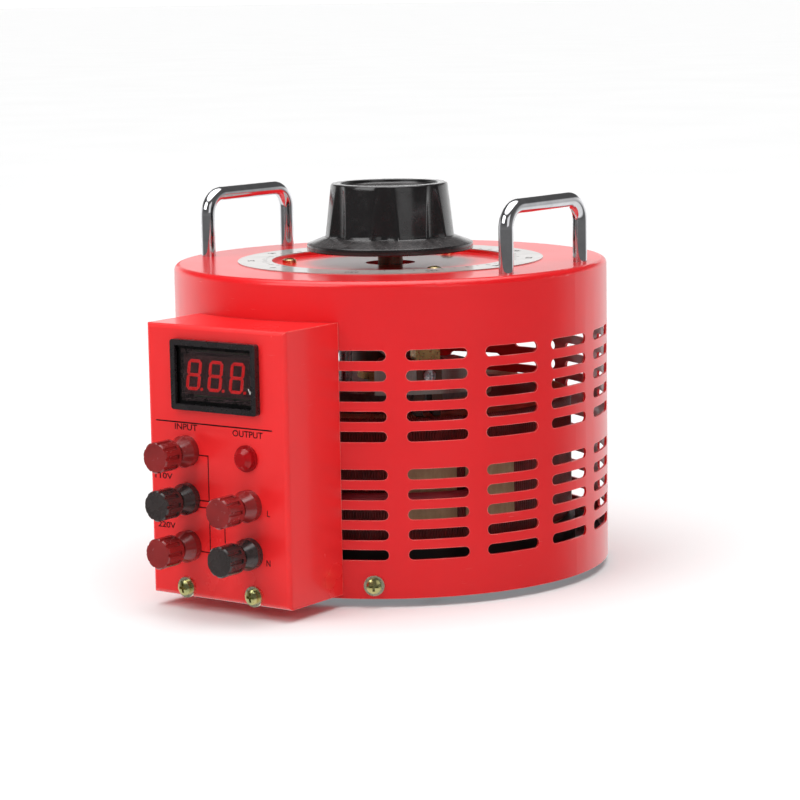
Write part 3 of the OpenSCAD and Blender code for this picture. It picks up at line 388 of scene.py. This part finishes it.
def enamelled_wire():
    """Dark red enamel, rubbed bare to the copper where the brushes run on the coil's top."""
    made = Finish("enamelled_wire", coat_weight=0.1, coat_roughness=0.2, roughness=0.38)
    dark, light = (0.12, 0.012, 0.012), (0.24, 0.022, 0.020)
    enamel_tone = made.ramp(made.noise(160, 4), (0.3, dark), (0.7, light))
    copper = made.ramp(made.noise(300, 3), (0.3, (0.55, 0.24, 0.13)), (0.7, (0.72, 0.36, 0.22)))
    distance = made.from_axis()
    rim_out = made.math("LESS_THAN", distance, TRACK_OUT)
    rim_in = made.math("GREATER_THAN", distance, TRACK_IN)
    top = made.math("GREATER_THAN", made.axis("Z"), TRACK_Z)
    bare = made.math("MULTIPLY", made.math("MULTIPLY", rim_out, rim_in), top)
    made.colour(made.mix(bare, enamel_tone, copper))
    made.link(bare, made.shader.inputs["Metallic"])
    made.bump(made.noise(700, 3), 0.03 * MM, 0.3)
    return made.material


def pressboard():
    """Oiled insulating paper with long fibres."""
    made = Finish("pressboard", roughness=0.75, sheen_weight=0.1)
    fibre = made.noise(420, 5, 0.7, made.stretched((1, 1, 0.25)))
    blotch = made.ramp(made.noise(60, 4), (0.3, (0.40, 0.28, 0.15)), (0.7, (0.56, 0.42, 0.25)))
    made.colour(made.mix(made.ramp(fibre, (0.3, 0.5), (0.7, 1.0)), (0.26, 0.17, 0.09), blotch))
    made.bump(fibre, 0.1 * MM, 0.4)
    return made.material


def digits_lit():
    """Lit segments, not quite even."""
    made = Finish("digits_lit", roughness=0.4)
    uneven = made.ramp(made.noise(500, 2), (0.2, (0.66, 0.004, 0.006)), (0.8, (0.90, 0.010, 0.010)))
    made.colour(uneven)
    made.link(uneven, made.shader.inputs["Emission Color"])
    made.shader.inputs["Emission Strength"].default_value = 0.9
    return made.material


def ink(name, colour):
    """Screen-printed ink, a little uneven at the edges of its film."""
    made = Finish(name, roughness=0.5, specular_ior_level=0.1)
    film = made.noise(1800, 3, 0.7)
    made.colour(made.ramp(film, (0.3, shade(colour, 0.7)), (0.7, colour)))
    made.bump(film, 0.01 * MM, 0.3)
    return made.material


MATERIALS = {
    "drum_red": enamel("enamel_drum", (0.80, 0.006, 0.010), 0.30),
    # The panel's red is the drum's enamel made lighter and more orange: a painted reflection of the
    # brighter light the panel catches.
    "panel_red": enamel("enamel_panel_lit_copy", (0.90, 0.022, 0.024), 0.26),
    "base_steel": plated("base_zinc", (0.55, 0.56, 0.58), (0.44, 0.45, 0.48), 0.42),
    "foot_rubber": plastic("foot_rubber", (0.018, 0.018, 0.018), 0.8, 0.0, 700, 0.2),
    "yellow_zinc": plated("yellow_zinc", (0.62, 0.52, 0.22), (0.42, 0.44, 0.20), 0.20),
    "washer_zinc": plated("washer_zinc", (0.84, 0.78, 0.56), (0.74, 0.72, 0.52), 0.24),
    "handle_chrome": chrome("handle_chrome"),
    "zinc_steel": plated("bright_zinc", (0.66, 0.67, 0.69), (0.56, 0.58, 0.62), 0.28),
    "dial_metal": dial_print(),
    "top_screw_brass": plated("screw_brass", (0.83, 0.66, 0.34), (0.70, 0.56, 0.28), 0.18),
    "meter_black": plastic("meter_black", (0.015, 0.012, 0.013), 0.26, 0.3),
    "meter_window": clear("meter_window", (0.50, 0.33, 0.34), 1.0),
    "board_green": plastic("board_green", (0.02, 0.14, 0.05), 0.4, 0.4),
    "led_grey": plastic("display_body", (0.040, 0.014, 0.016), 0.6),
    "led_red": digits_lit(),
    "lamp_red": clear("lamp_lens", (0.50, 0.008, 0.012), 0.35, 0.08, 0.05),
    "nickel": plated("nickel", (0.74, 0.72, 0.68), (0.64, 0.62, 0.58), 0.18),
    "post_red": plastic("post_red", (0.23, 0.016, 0.016), 0.20, 0.4),
    "post_black": plastic("post_black", (0.030, 0.023, 0.022), 0.26, 0.3),
    "brass": plated("brass", (0.78, 0.58, 0.26), (0.66, 0.47, 0.20), 0.28),
    "core_steel": brushed("core_strip", (0.30, 0.30, 0.32), 0.45, (1, 1, 12)),
    "winding_enamel": enamelled_wire(),
    "pressboard": pressboard(),
    "lead_red": plastic("lead_red", (0.34, 0.014, 0.026), 0.45, 0.1, 2400),
    "lead_black": plastic("lead_black", (0.015, 0.015, 0.015), 0.5, 0.1, 2400),
    "seat_black": plastic("seat_black", (0.016, 0.014, 0.014), 0.5, 0.1),
    "clamp_metal": plated("clamp_cast", (0.42, 0.42, 0.43), (0.34, 0.34, 0.35), 0.5, 500),
    "shaft_steel": plated("shaft_brown", (0.20, 0.13, 0.09), (0.13, 0.09, 0.07), 0.4),
    "knob_black": plastic("knob_black", (0.008, 0.0075, 0.008), 0.20, 0.35, 1200, 0.22),
    "hub_brown": plastic("hub_brown", (0.085, 0.032, 0.016), 0.45, 0.1, 900),
    "arm_metal": brushed("arm_sheet", (0.50, 0.48, 0.45), 0.34, (30, 1, 1)),
    "carbon": plastic("carbon", (0.045, 0.025, 0.018), 0.6, 0.0, 1800),
}
INK_BLACK = ink("ink_black", (0.012, 0.004, 0.004))
INK_WHITE = ink("ink_white", (0.75, 0.75, 0.72))


def dress_cad_nodes():
    for entry in frame["record"]["subparts"]:
        piece = NODES[entry["node"]]
        piece.data.materials.clear()
        piece.data.materials.append(MATERIALS[entry["material_slot"]])


dress_cad_nodes()

# ---------- building pieces ----------


def in_scene(name, mesh, material):
    """A finished mesh as an object, smooth all over."""
    piece = bpy.data.objects.new(name, mesh)
    bpy.context.scene.collection.objects.link(piece)
    mesh.materials.append(material)
    mesh.polygons.foreach_set("use_smooth", [True] * len(mesh.polygons))
    return piece


def add_piece(name, mesh, body, material, smooth_angle=30):
    """A mesh as a piece that rides on a body, with edges over smooth_angle kept sharp."""
    piece = in_scene(name, mesh, material)
    mesh.set_sharp_from_angle(angle=math.radians(smooth_angle))
    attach(piece, body)
    return piece


def to_mesh(bm, name):
    """The bmesh as a mesh. The bmesh is freed."""
    mesh = bpy.data.meshes.new(name)
    bm.to_mesh(mesh)
    bm.free()
    return mesh


def bridge(bm, here, there):
    """Faces all round between two rings of vertices."""
    for j in range(len(here)):
        k = (j + 1) % len(here)
        bm.faces.new((here[j], here[k], there[k], there[j]))


def ring_mesh(name, section, turns):
    """A closed surface swept round the shaft's axis: section(angle) gives (r, z) points."""
    bm = bmesh.new()
    rings = []
    for i in range(turns):
        angle = 2 * math.pi * i / turns
        points = section(angle)
        across, along = math.sin(angle), -math.cos(angle)
        rings.append([bm.verts.new((r * across, r * along, z)) for r, z in points])
    for i in range(turns):
        bridge(bm, rings[i], rings[(i + 1) % turns])
    bmesh.ops.remove_doubles(bm, verts=bm.verts, dist=1e-7)
    bmesh.ops.recalc_face_normals(bm, faces=bm.faces)
    return to_mesh(bm, name)


def arc_points(centre, radius, start, end, count):
    """Points of a round edge in the (r, z) plane, from start to end degrees."""
    out = []
    for i in range(count + 1):
        a = math.radians(start + (end - start) * i / count)
        out.append((centre[0] + radius * math.cos(a), centre[1] + radius * math.sin(a)))
    return out


# ---------- coil ----------

COIL_TURNS = 420
WIRE_STEPS = 6
WIRE_CREST = 0.62 * MM
COIL_EDGE_R = 3 * MM
COIL_EDGE_STEPS = 3
COIL_BORE = min(Vector((v.co.x, v.co.y)).length for v in NODES["winding"].data.vertices)


def coil_section(angle):
    """One station of the winding. Each turn of wire is a crest as deep as its own width allows."""
    phase = (angle * COIL_TURNS / (2 * math.pi)) % 1
    across = 2 * phase - 1
    hollow = 1 - math.sqrt(max(0.0, 1 - across * across))
    inner, outer, low, high = COIL_BORE, COIL_HIGH.x, COIL_LOW.z, COIL_HIGH.z
    edge = COIL_EDGE_R
    corners = [
        ((outer - edge, low + edge), -90, 0),
        ((outer - edge, high - edge), 0, 90),
        ((inner + edge, high - edge), 90, 180),
        ((inner + edge, low + edge), 180, 270),
    ]
    points = []
    for centre, start, end in corners:
        for r, z in arc_points(centre, edge, start, end, COIL_EDGE_STEPS):
            depth = WIRE_CREST * hollow * r / outer
            toward = Vector((centre[0] - r, centre[1] - z)).normalized()
            points.append((r + toward.x * depth, z + toward.y * depth))
    return points


def make_coil():
    mesh = ring_mesh("coil_turns", coil_section, COIL_TURNS * WIRE_STEPS)
    enamelled = MATERIALS["winding_enamel"]
    coil = add_piece("coil_turns", mesh, "chassis", enamelled, 80)
    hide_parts("winding")


make_coil()

# ---------- knob ----------

KNOB_LOW, KNOB_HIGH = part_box("knob")
SHAFT_R = 6.05 * MM
BORE_BEVEL = 0.3 * MM
HUB_R = 10 * MM
HOLLOW_R = 20.4 * MM
KNOB_WALL = 4 * MM
SKIRT_R = KNOB_HIGH.x
SKIRT_T = 3.3 * MM
SKIRT_RISE = 3.2 * MM
SKIRT_LIP_R = 0.5 * MM
SKIRT_FLAT = 3 * MM
FOOT_LEDGE = 0.6 * MM
FOOT_SLOPE, FOOT_DROP = 1.2 * MM, 0.4 * MM
FOOT_IN, FOOT_STEP, FOOT_RISE = 0.3 * MM, 0.05 * MM, 0.5 * MM
GRIP_R = 31 * MM
GRIP_TOP_R = 28 * MM
GRIP_EDGE_R = 0.9 * MM
GRIP_STEPS = 14
DISH_R = 23.4 * MM
DISH = 2 * MM
DISH_SAG = 0.2 * MM
DISH_LIP_R = 0.5 * MM
DISH_CORNER_R = 1.2 * MM
FLUTES = 7
FLUTE_STEPS = 54
FLUTE_R = 9 * MM
FLUTE_DEPTH = 3.6 * MM
ARM_ANGLE = math.radians(46.5)
FLUTE_TURN = math.radians(-16)
RIDGE = 0.7 * MM


def soft_min(a, b, width):
    """The smaller of two lengths, blended where they come within width of each other."""
    h = max(width - abs(a - b), 0.0) / width
    return min(a, b) - h * h * width / 4


def grip_radius(angle, z, foot_z, top_z):
    """Radius of the fluted grip, whose flutes fade towards the top."""
    up = min(max((z - foot_z) / (top_z - foot_z), 0), 1)
    cone = GRIP_R + (GRIP_TOP_R - GRIP_R) * up
    pitch = 2 * math.pi / FLUTES
    off = (angle - ARM_ANGLE - FLUTE_TURN + pitch / 2) % pitch - pitch / 2
    centre = GRIP_R - FLUTE_DEPTH + FLUTE_R
    reach = FLUTE_R ** 2 - (centre * math.sin(off)) ** 2
    flute = centre * math.cos(off) - math.sqrt(reach) if reach > 0 else centre
    return soft_min(cone, flute, RIDGE)


def knob_section(angle):
    """One station of the knob: the bore, the hollow, the skirt, the grip and the dish."""
    low, top = KNOB_LOW.z, KNOB_HIGH.z
    rim_z = low + SKIRT_T
    foot_z = rim_z + SKIRT_RISE
    grip_z = foot_z + FOOT_RISE
    edge_z = top - GRIP_EDGE_R
    floor_z = top - DISH
    hollow_top = floor_z - KNOB_WALL
    foot_r = grip_radius(angle, foot_z, foot_z, top)
    slope_r = max(foot_r + FOOT_LEDGE, GRIP_R)
    top_r = grip_radius(angle, top, foot_z, top)
    points = [(0, hollow_top), (SHAFT_R, hollow_top)]
    points += [(SHAFT_R, low + BORE_BEVEL), (SHAFT_R + BORE_BEVEL, low)]
    points += [(HUB_R, low), (HUB_R, hollow_top), (HOLLOW_R, hollow_top), (HOLLOW_R, low)]
    points += arc_points((SKIRT_R - SKIRT_LIP_R, low + SKIRT_LIP_R), SKIRT_LIP_R, -90, 0, 4)
    points += arc_points((SKIRT_R - SKIRT_LIP_R, rim_z - SKIRT_LIP_R), SKIRT_LIP_R, 0, 75, 4)
    points += [(SKIRT_R - SKIRT_FLAT, rim_z + SKIRT_RISE * 0.33)]
    points += [(slope_r + FOOT_SLOPE, foot_z - FOOT_DROP), (slope_r, foot_z)]
    points += [(foot_r + FOOT_IN, foot_z + FOOT_STEP), (foot_r, grip_z)]
    for i in range(1, GRIP_STEPS + 1):
        z = grip_z + (edge_z - grip_z) * i / GRIP_STEPS
        points.append((grip_radius(angle, z, foot_z, top), z))
    points += arc_points((top_r - GRIP_EDGE_R, edge_z), GRIP_EDGE_R, 18, 90, 5)
    points += arc_points((DISH_R + DISH_LIP_R, top - DISH_LIP_R), DISH_LIP_R, 90, 180, 4)
    corner = (DISH_R - DISH_CORNER_R, floor_z + DISH_CORNER_R)
    points += arc_points(corner, DISH_CORNER_R, 0, -90, 4)
    points += [(DISH_R * 0.6, floor_z - DISH_SAG * 0.75), (DISH_R * 0.25, floor_z - DISH_SAG)]
    points.append((0, floor_z - DISH_SAG))
    return points


def make_knob():
    mesh = ring_mesh("knob_moulding", knob_section, FLUTES * FLUTE_STEPS)
    knob = add_piece("knob_moulding", mesh, "rotor", MATERIALS["knob_black"], 50)
    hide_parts("knob")


make_knob()

# ---------- brush springs ----------

SPRING_WIRE_R = 0.4 * MM
SPRING_TURNS = 3
SPRING_STEPS = 20
SPRING_SIDES = 8


def spring_mesh(name, foot, head, coil_r):
    """A coil spring that stands on foot and ends at head, as a closed tube of round wire."""
    bm = bmesh.new()
    count = SPRING_TURNS * SPRING_STEPS
    length = head.z - foot.z - 2 * SPRING_WIRE_R
    up = Vector((0, 0, 1))
    round_wire = [2 * math.pi * j / SPRING_SIDES for j in range(SPRING_SIDES)]
    rings = []
    for i in range(count + 1):
        angle = 2 * math.pi * i / SPRING_STEPS
        out = Vector((math.cos(angle), math.sin(angle), 0))
        centre = foot + out * coil_r + up * (SPRING_WIRE_R + length * i / count)
        rings.append([bm.verts.new(centre + (out * math.cos(a) + up * math.sin(a)) * SPRING_WIRE_R)
                      for a in round_wire])
    for here, there in zip(rings, rings[1:]):
        bridge(bm, here, there)
    bm.faces.new(rings[0])
    bm.faces.new(rings[-1])
    bmesh.ops.recalc_face_normals(bm, faces=bm.faces)
    return to_mesh(bm, name)


def make_brush_springs():
    """The springs over the brushes, each a coil from its foot at its brush up to its head."""
    places = [v.co.copy() for v in NODES["brush_springs"].data.vertices]
    middle = sum(places, Vector()) / len(places)
    across = Vector((-middle.y, middle.x, 0)).normalized()
    for name, side in (("left", -1), ("right", 1)):
        own = [place for place in places if (place - middle).dot(across) * side > 0]
        centre = sum(own, Vector()) / len(own)
        coil_r = max((place.xy - centre.xy).length for place in own) - SPRING_WIRE_R
        foot = Vector((centre.x, centre.y, min(place.z for place in own)))
        head = Vector((centre.x, centre.y, max(place.z for place in own)))
        mesh = spring_mesh("brush_spring_" + name, foot, head, coil_r)
        spring = in_scene("brush_spring_" + name, mesh, MATERIALS["zinc_steel"])
        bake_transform(spring)
        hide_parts("brush_springs")


make_brush_springs()

# ---------- lettering ----------

INK = 0.03 * MM
PANEL_BOLD = 0.045 * MM
CAP_SHARE = 0.73
PANEL_FACE = Matrix.Rotation(math.radians(90), 4, "X")
# name, words, cap height and width in millimetres
PANEL_WORDS = [
    ("word_input", "INPUT", 2.9, 12.9),
    ("word_output", "OUTPUT", 2.9, 16.9),
    ("mark_110v", "110V", 2.7, 10.2),
    ("mark_220v", "220V", 2.7, 10.2),
    ("mark_live", "L", 2.9, 1.5),
    ("mark_neutral", "N", 2.9, 2.2),
]
RULE_LEFT, RULE_RIGHT = -34.6, 31.0
RULE_WIDTH, BRACKET_WIDTH = 0.6 * MM, 0.5 * MM
# each run is a line's (x, z) corners in millimetres
BRACKETS = [
    [(-17.5, 67.6), (-5.2, 67.6), (-5.2, 47.0), (-17.5, 47.0)],
    [(-17.5, 43.9), (-5.2, 43.9), (-5.2, 23.6), (-17.5, 23.6)],
    [(3.4, 43.0), (3.4, 29.0)],
]


def letters(words, height, bold=0.0):
    """A mesh of words in the plain built-in face, cap height given, centred on the origin."""
    curve = bpy.data.curves.new("letters", "FONT")
    curve.body = words
    curve.size = height / CAP_SHARE
    curve.offset = bold
    curve.extrude = INK / 2
    curve.resolution_u = 4
    holder = bpy.data.objects.new("letters", curve)
    bpy.context.scene.collection.objects.link(holder)
    bpy.context.view_layer.update()
    shaped = holder.evaluated_get(bpy.context.evaluated_depsgraph_get())
    mesh = bpy.data.meshes.new_from_object(shaped)
    bpy.data.objects.remove(holder)
    low = Vector(min(v.co[i] for v in mesh.vertices) for i in range(3))
    high = Vector(max(v.co[i] for v in mesh.vertices) for i in range(3))
    mesh.transform(Matrix.Translation(-(low + high) / 2))
    return mesh


def panel_words(name, words, height, width, material=None, carrier="panel_box"):
    """Words printed on an upright face to a width, centred on their image point."""
    place = on_surface(IMAGE_POINTS[name], NODES[carrier])
    mesh = letters(words, height, PANEL_BOLD)
    xs = [v.co.x for v in mesh.vertices]
    mesh.transform(Matrix.Scale(width / (max(xs) - min(xs)), 4, (1, 0, 0)))
    mesh.transform(Matrix.Translation(place + Vector((0, -INK / 2, 0))) @ PANEL_FACE)
    add_piece(name, mesh, "chassis", material or INK_BLACK)


def add_bar(bm, low, high):
    """A block between two corners."""
    made = bmesh.ops.create_cube(bm, size=1.0)
    for v in made["verts"]:
        v.co = Vector(low[i] + (v.co[i] + 0.5) * (high[i] - low[i]) for i in range(3))


def panel_lines(name, runs, width):
    """Printed lines on the panel, with run after run of corners."""
    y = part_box("panel_box")[0].y
    bm = bmesh.new()
    for run in runs:
        for (xa, za), (xb, zb) in zip(run, run[1:]):
            low = (min(xa, xb) * MM - width / 2, y - INK, min(za, zb) * MM - width / 2)
            high = (max(xa, xb) * MM + width / 2, y, max(za, zb) * MM + width / 2)
            add_bar(bm, low, high)
    add_piece(name, to_mesh(bm, name), "chassis", INK_BLACK)


def print_panel():
    for name, words, height, width in PANEL_WORDS:
        panel_words(name, words, height * MM, width * MM)
    rule_z = on_surface(IMAGE_POINTS["panel_rule"], NODES["panel_box"]).z / MM
    panel_lines("panel_rule", [[(RULE_LEFT, rule_z), (RULE_RIGHT, rule_z)]], RULE_WIDTH)
    panel_lines("panel_brackets", BRACKETS, BRACKET_WIDTH)


print_panel()

# ---------- dial ----------

DIAL_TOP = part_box("dial_plate")[1].z
VOLTS_FULL = 250
ANGLE_ZERO = 340
ANGLE_FULL = 20
TICK_VOLTS, LONG_TICK_VOLTS, FIGURE_VOLTS = 5, 10, 25
LONG_TICK = (2.6 * MM, 0.5 * MM)
SHORT_TICK = (1.6 * MM, 0.3 * MM)
TICK_R = 59.5 * MM
FIGURE_R = 67 * MM
FIGURE_H = 3.4 * MM


def dial_angle(volts):
    """Drum angle, in degrees, at which the pointer shows these volts."""
    return ANGLE_ZERO + (ANGLE_FULL - ANGLE_ZERO) * volts / VOLTS_FULL


def make_dial_scale():
    bm = bmesh.new()
    for volts in range(0, VOLTS_FULL + 1, TICK_VOLTS):
        length, width = SHORT_TICK if volts % LONG_TICK_VOLTS else LONG_TICK
        start = len(bm.verts)
        add_bar(bm, (-width / 2, -TICK_R - length, 0), (width / 2, -TICK_R, INK))
        bm.verts.ensure_lookup_table()
        turn = Matrix.Rotation(math.radians(dial_angle(volts)), 4, "Z")
        bmesh.ops.transform(bm, matrix=turn, verts=bm.verts[start:])
    for volts in range(0, VOLTS_FULL + 1, FIGURE_VOLTS):
        figures = letters(str(volts), FIGURE_H)
        turn = Matrix.Rotation(math.radians(dial_angle(volts)), 4, "Z")
        place = Matrix.Translation((0, -FIGURE_R, INK / 2))
        figures.transform(turn @ place @ Matrix.Rotation(math.pi, 4, "Z"))
        bm.from_mesh(figures)
        bpy.data.meshes.remove(figures)
    bmesh.ops.translate(bm, verts=bm.verts, vec=(0, 0, DIAL_TOP))
    add_piece("dial_scale", to_mesh(bm, "dial_scale"), "chassis", INK_BLACK)


make_dial_scale()

# ---------- voltmeter print ----------

panel_words("meter_unit", "V", 2.6 * MM, 2.4 * MM, INK_WHITE, "meter_window")

# ---------- floor and light ----------

FLOOR_REACH = 60
LIGHT_AIM = Vector((0, 0, 0.08))
# strength of the light overhead, and the world's other parts as shares of it
ZENITH, HORIZON, ROOM, DIM, BELOW, TABLE = 3.4, 0.34, 0.06, 0.03, 0.03, 0.28
BACKDROP_FROM, BACKDROP_TO = 0.1, 0.6
# heights where those parts begin and end: 0 is straight down, 0.5 the horizon, 1 straight up
OVERHEAD = [(0.65, DIM), (0.88, DIM), (0.94, 1.0)]
ROOM_STOPS = [(0.30, TABLE), (0.38, BELOW), (0.50, ROOM)] + OVERHEAD
BACKDROP_STOPS = [(0.30, TABLE), (0.50, HORIZON), (0.58, HORIZON)] + OVERHEAD


def make_floor():
    reach = FLOOR_REACH
    mesh = bpy.data.meshes.new("floor")
    corners = [(-reach, -reach, 0), (reach, -reach, 0), (reach, reach, 0), (-reach, reach, 0)]
    mesh.from_pydata(corners, [], [(0, 1, 2, 3)])
    floor = bpy.data.objects.new("floor", mesh)
    floor.location.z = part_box("rubber_feet")[0].z
    floor.visible_glossy = False
    bpy.context.scene.collection.objects.link(floor)
    paint = Finish("floor_paint", roughness=0.9)
    paint.colour(paint.ramp(paint.noise(3, 2), (0.3, 0.83), (0.7, 0.85)))
    mesh.materials.append(paint.material)
    floor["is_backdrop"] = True


def make_light(name, place, size, watts):
    data = bpy.data.lights.new(name, "AREA")
    data.shape = "RECTANGLE"
    data.size, data.size_y = size
    data.energy = watts
    light = bpy.data.objects.new(name, data)
    light.location = place
    light.rotation_euler = (LIGHT_AIM - Vector(place)).to_track_quat("-Z", "Y").to_euler()
    bpy.context.scene.collection.objects.link(light)


def make_world():
    """A white table, a white backdrop, a dim room on the camera's side and a light overhead."""
    world = bpy.data.worlds.new("studio")
    world.use_nodes = True
    tree = world.node_tree
    sky = tree.nodes.new("ShaderNodeTexCoord").outputs["Generated"]
    split = tree.nodes.new("ShaderNodeSeparateXYZ")
    tree.links.new(sky, split.inputs[0])
    height = tree.nodes.new("ShaderNodeMapRange")
    height.inputs["From Min"].default_value = -1.0
    tree.links.new(split.outputs["Z"], height.inputs["Value"])
    away = tree.nodes.new("ShaderNodeVectorMath")
    away.operation = "DOT_PRODUCT"
    across = math.radians(CAMERA_AZIMUTH)
    away.inputs[1].default_value = (-math.sin(across), math.cos(across), 0)
    tree.links.new(sky, away.inputs[0])
    behind = add_ramp(tree, away.outputs["Value"], [(BACKDROP_FROM, 0.0), (BACKDROP_TO, 1.0)])
    room = add_ramp(tree, height.outputs[0], ROOM_STOPS)
    backdrop = add_ramp(tree, height.outputs[0], BACKDROP_STOPS)
    mix = tree.nodes.new("ShaderNodeMixRGB")
    tree.links.new(behind, mix.inputs["Fac"])
    tree.links.new(room, mix.inputs["Color1"])
    tree.links.new(backdrop, mix.inputs["Color2"])
    tree.links.new(mix.outputs["Color"], tree.nodes["Background"].inputs["Color"])
    tree.nodes["Background"].inputs["Strength"].default_value = ZENITH
    bpy.context.scene.world = world


bpy.context.scene.view_settings.view_transform = "Standard"
make_floor()
make_world()
make_light("key", (-0.5, -1.7, 1.3), (1.5, 1.0), 15)
make_light("fill", (1.9, -0.9, 0.9), (1.2, 1.2), 4)

# ---------- image points: what shows, against its point ----------

BOX_BACK_R = 104.3 * MM
HANDLE_ROD_R = 3.4 * MM
SCREW_REACH = 5 * MM
SCREW_HEADS = {
    "drum_screw": Vector((52.9, -91.6, 6.3)) * MM,
    "box_screw_left": Vector((-19.3, -138.5, 6.3)) * MM,
}
HANDLE_BARS = {"handle_left_bar": "handle_left", "handle_right_bar": "handle_right"}
HIDDEN_BY = 0.3 * MM


def shown_vertices(piece, near=None, within=None):
    """Vertices of a finished piece that the camera sees, in the frame."""
    graph = bpy.context.evaluated_depsgraph_get()
    mesh = piece.evaluated_get(graph).data
    start = CAMERA.matrix_world.translation
    seen = []
    for v in mesh.vertices:
        place = piece.matrix_world @ v.co
        if near is not None and (place - near).length > within:
            continue
        ray = place - start
        hit, where = bpy.context.scene.ray_cast(graph, start, ray.normalized())[:2]
        if not hit or (where - start).length > ray.length - HIDDEN_BY:
            seen.append(place)
    return seen


def middle_of(places):
    seen = [to_image(place) for place in places]
    xs, ys = [x for x, _ in seen], [y for _, y in seen]
    return (min(xs) + max(xs)) / 2, (min(ys) + max(ys)) / 2


def write_points():
    every = [to_image(piece.matrix_world @ v.co)
             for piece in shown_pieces() for v in piece.data.vertices]
    xs, ys = [x for x, _ in every], [y for _, y in every]
    found = {"left_x": min(xs), "right_x": max(xs), "top_y": min(ys), "bottom_y": max(ys)}
    off = {name: round(found[name] - EDGE_POINTS[name], 2) for name in EDGE_POINTS}
    box_low, box_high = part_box("panel_box")
    back_y = -math.sqrt(BOX_BACK_R ** 2 - box_high.x ** 2)
    corner = {
        "box_front_top_left": (box_low.x, box_low.y, box_high.z),
        "box_front_bottom_right": (box_high.x, box_low.y, box_low.z),
        "box_back_top_right": (box_high.x, back_y, box_high.z),
    }
    for name, point in IMAGE_POINTS.items():
        if name in corner:
            x, y = to_image(corner[name])
        elif name in SCREW_HEADS:
            x, y = middle_of(shown_vertices(NODES["case_screws"], SCREW_HEADS[name], SCREW_REACH))
        elif name in HANDLE_BARS:
            low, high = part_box(HANDLE_BARS[name])
            middle = (low + high) / 2
            x, y = to_image((middle.x, middle.y, high.z - HANDLE_ROD_R))
        elif name == "lamp":
            x, y = middle_of(shown_vertices(NODES["lamp_lens"]))
        else:
            piece = bpy.data.objects[name]
            x, y = middle_of([piece.matrix_world @ v.co for v in piece.data.vertices])
        off[name] = [round(x - point[0], 2), round(y - point[1], 2)]


write_points()
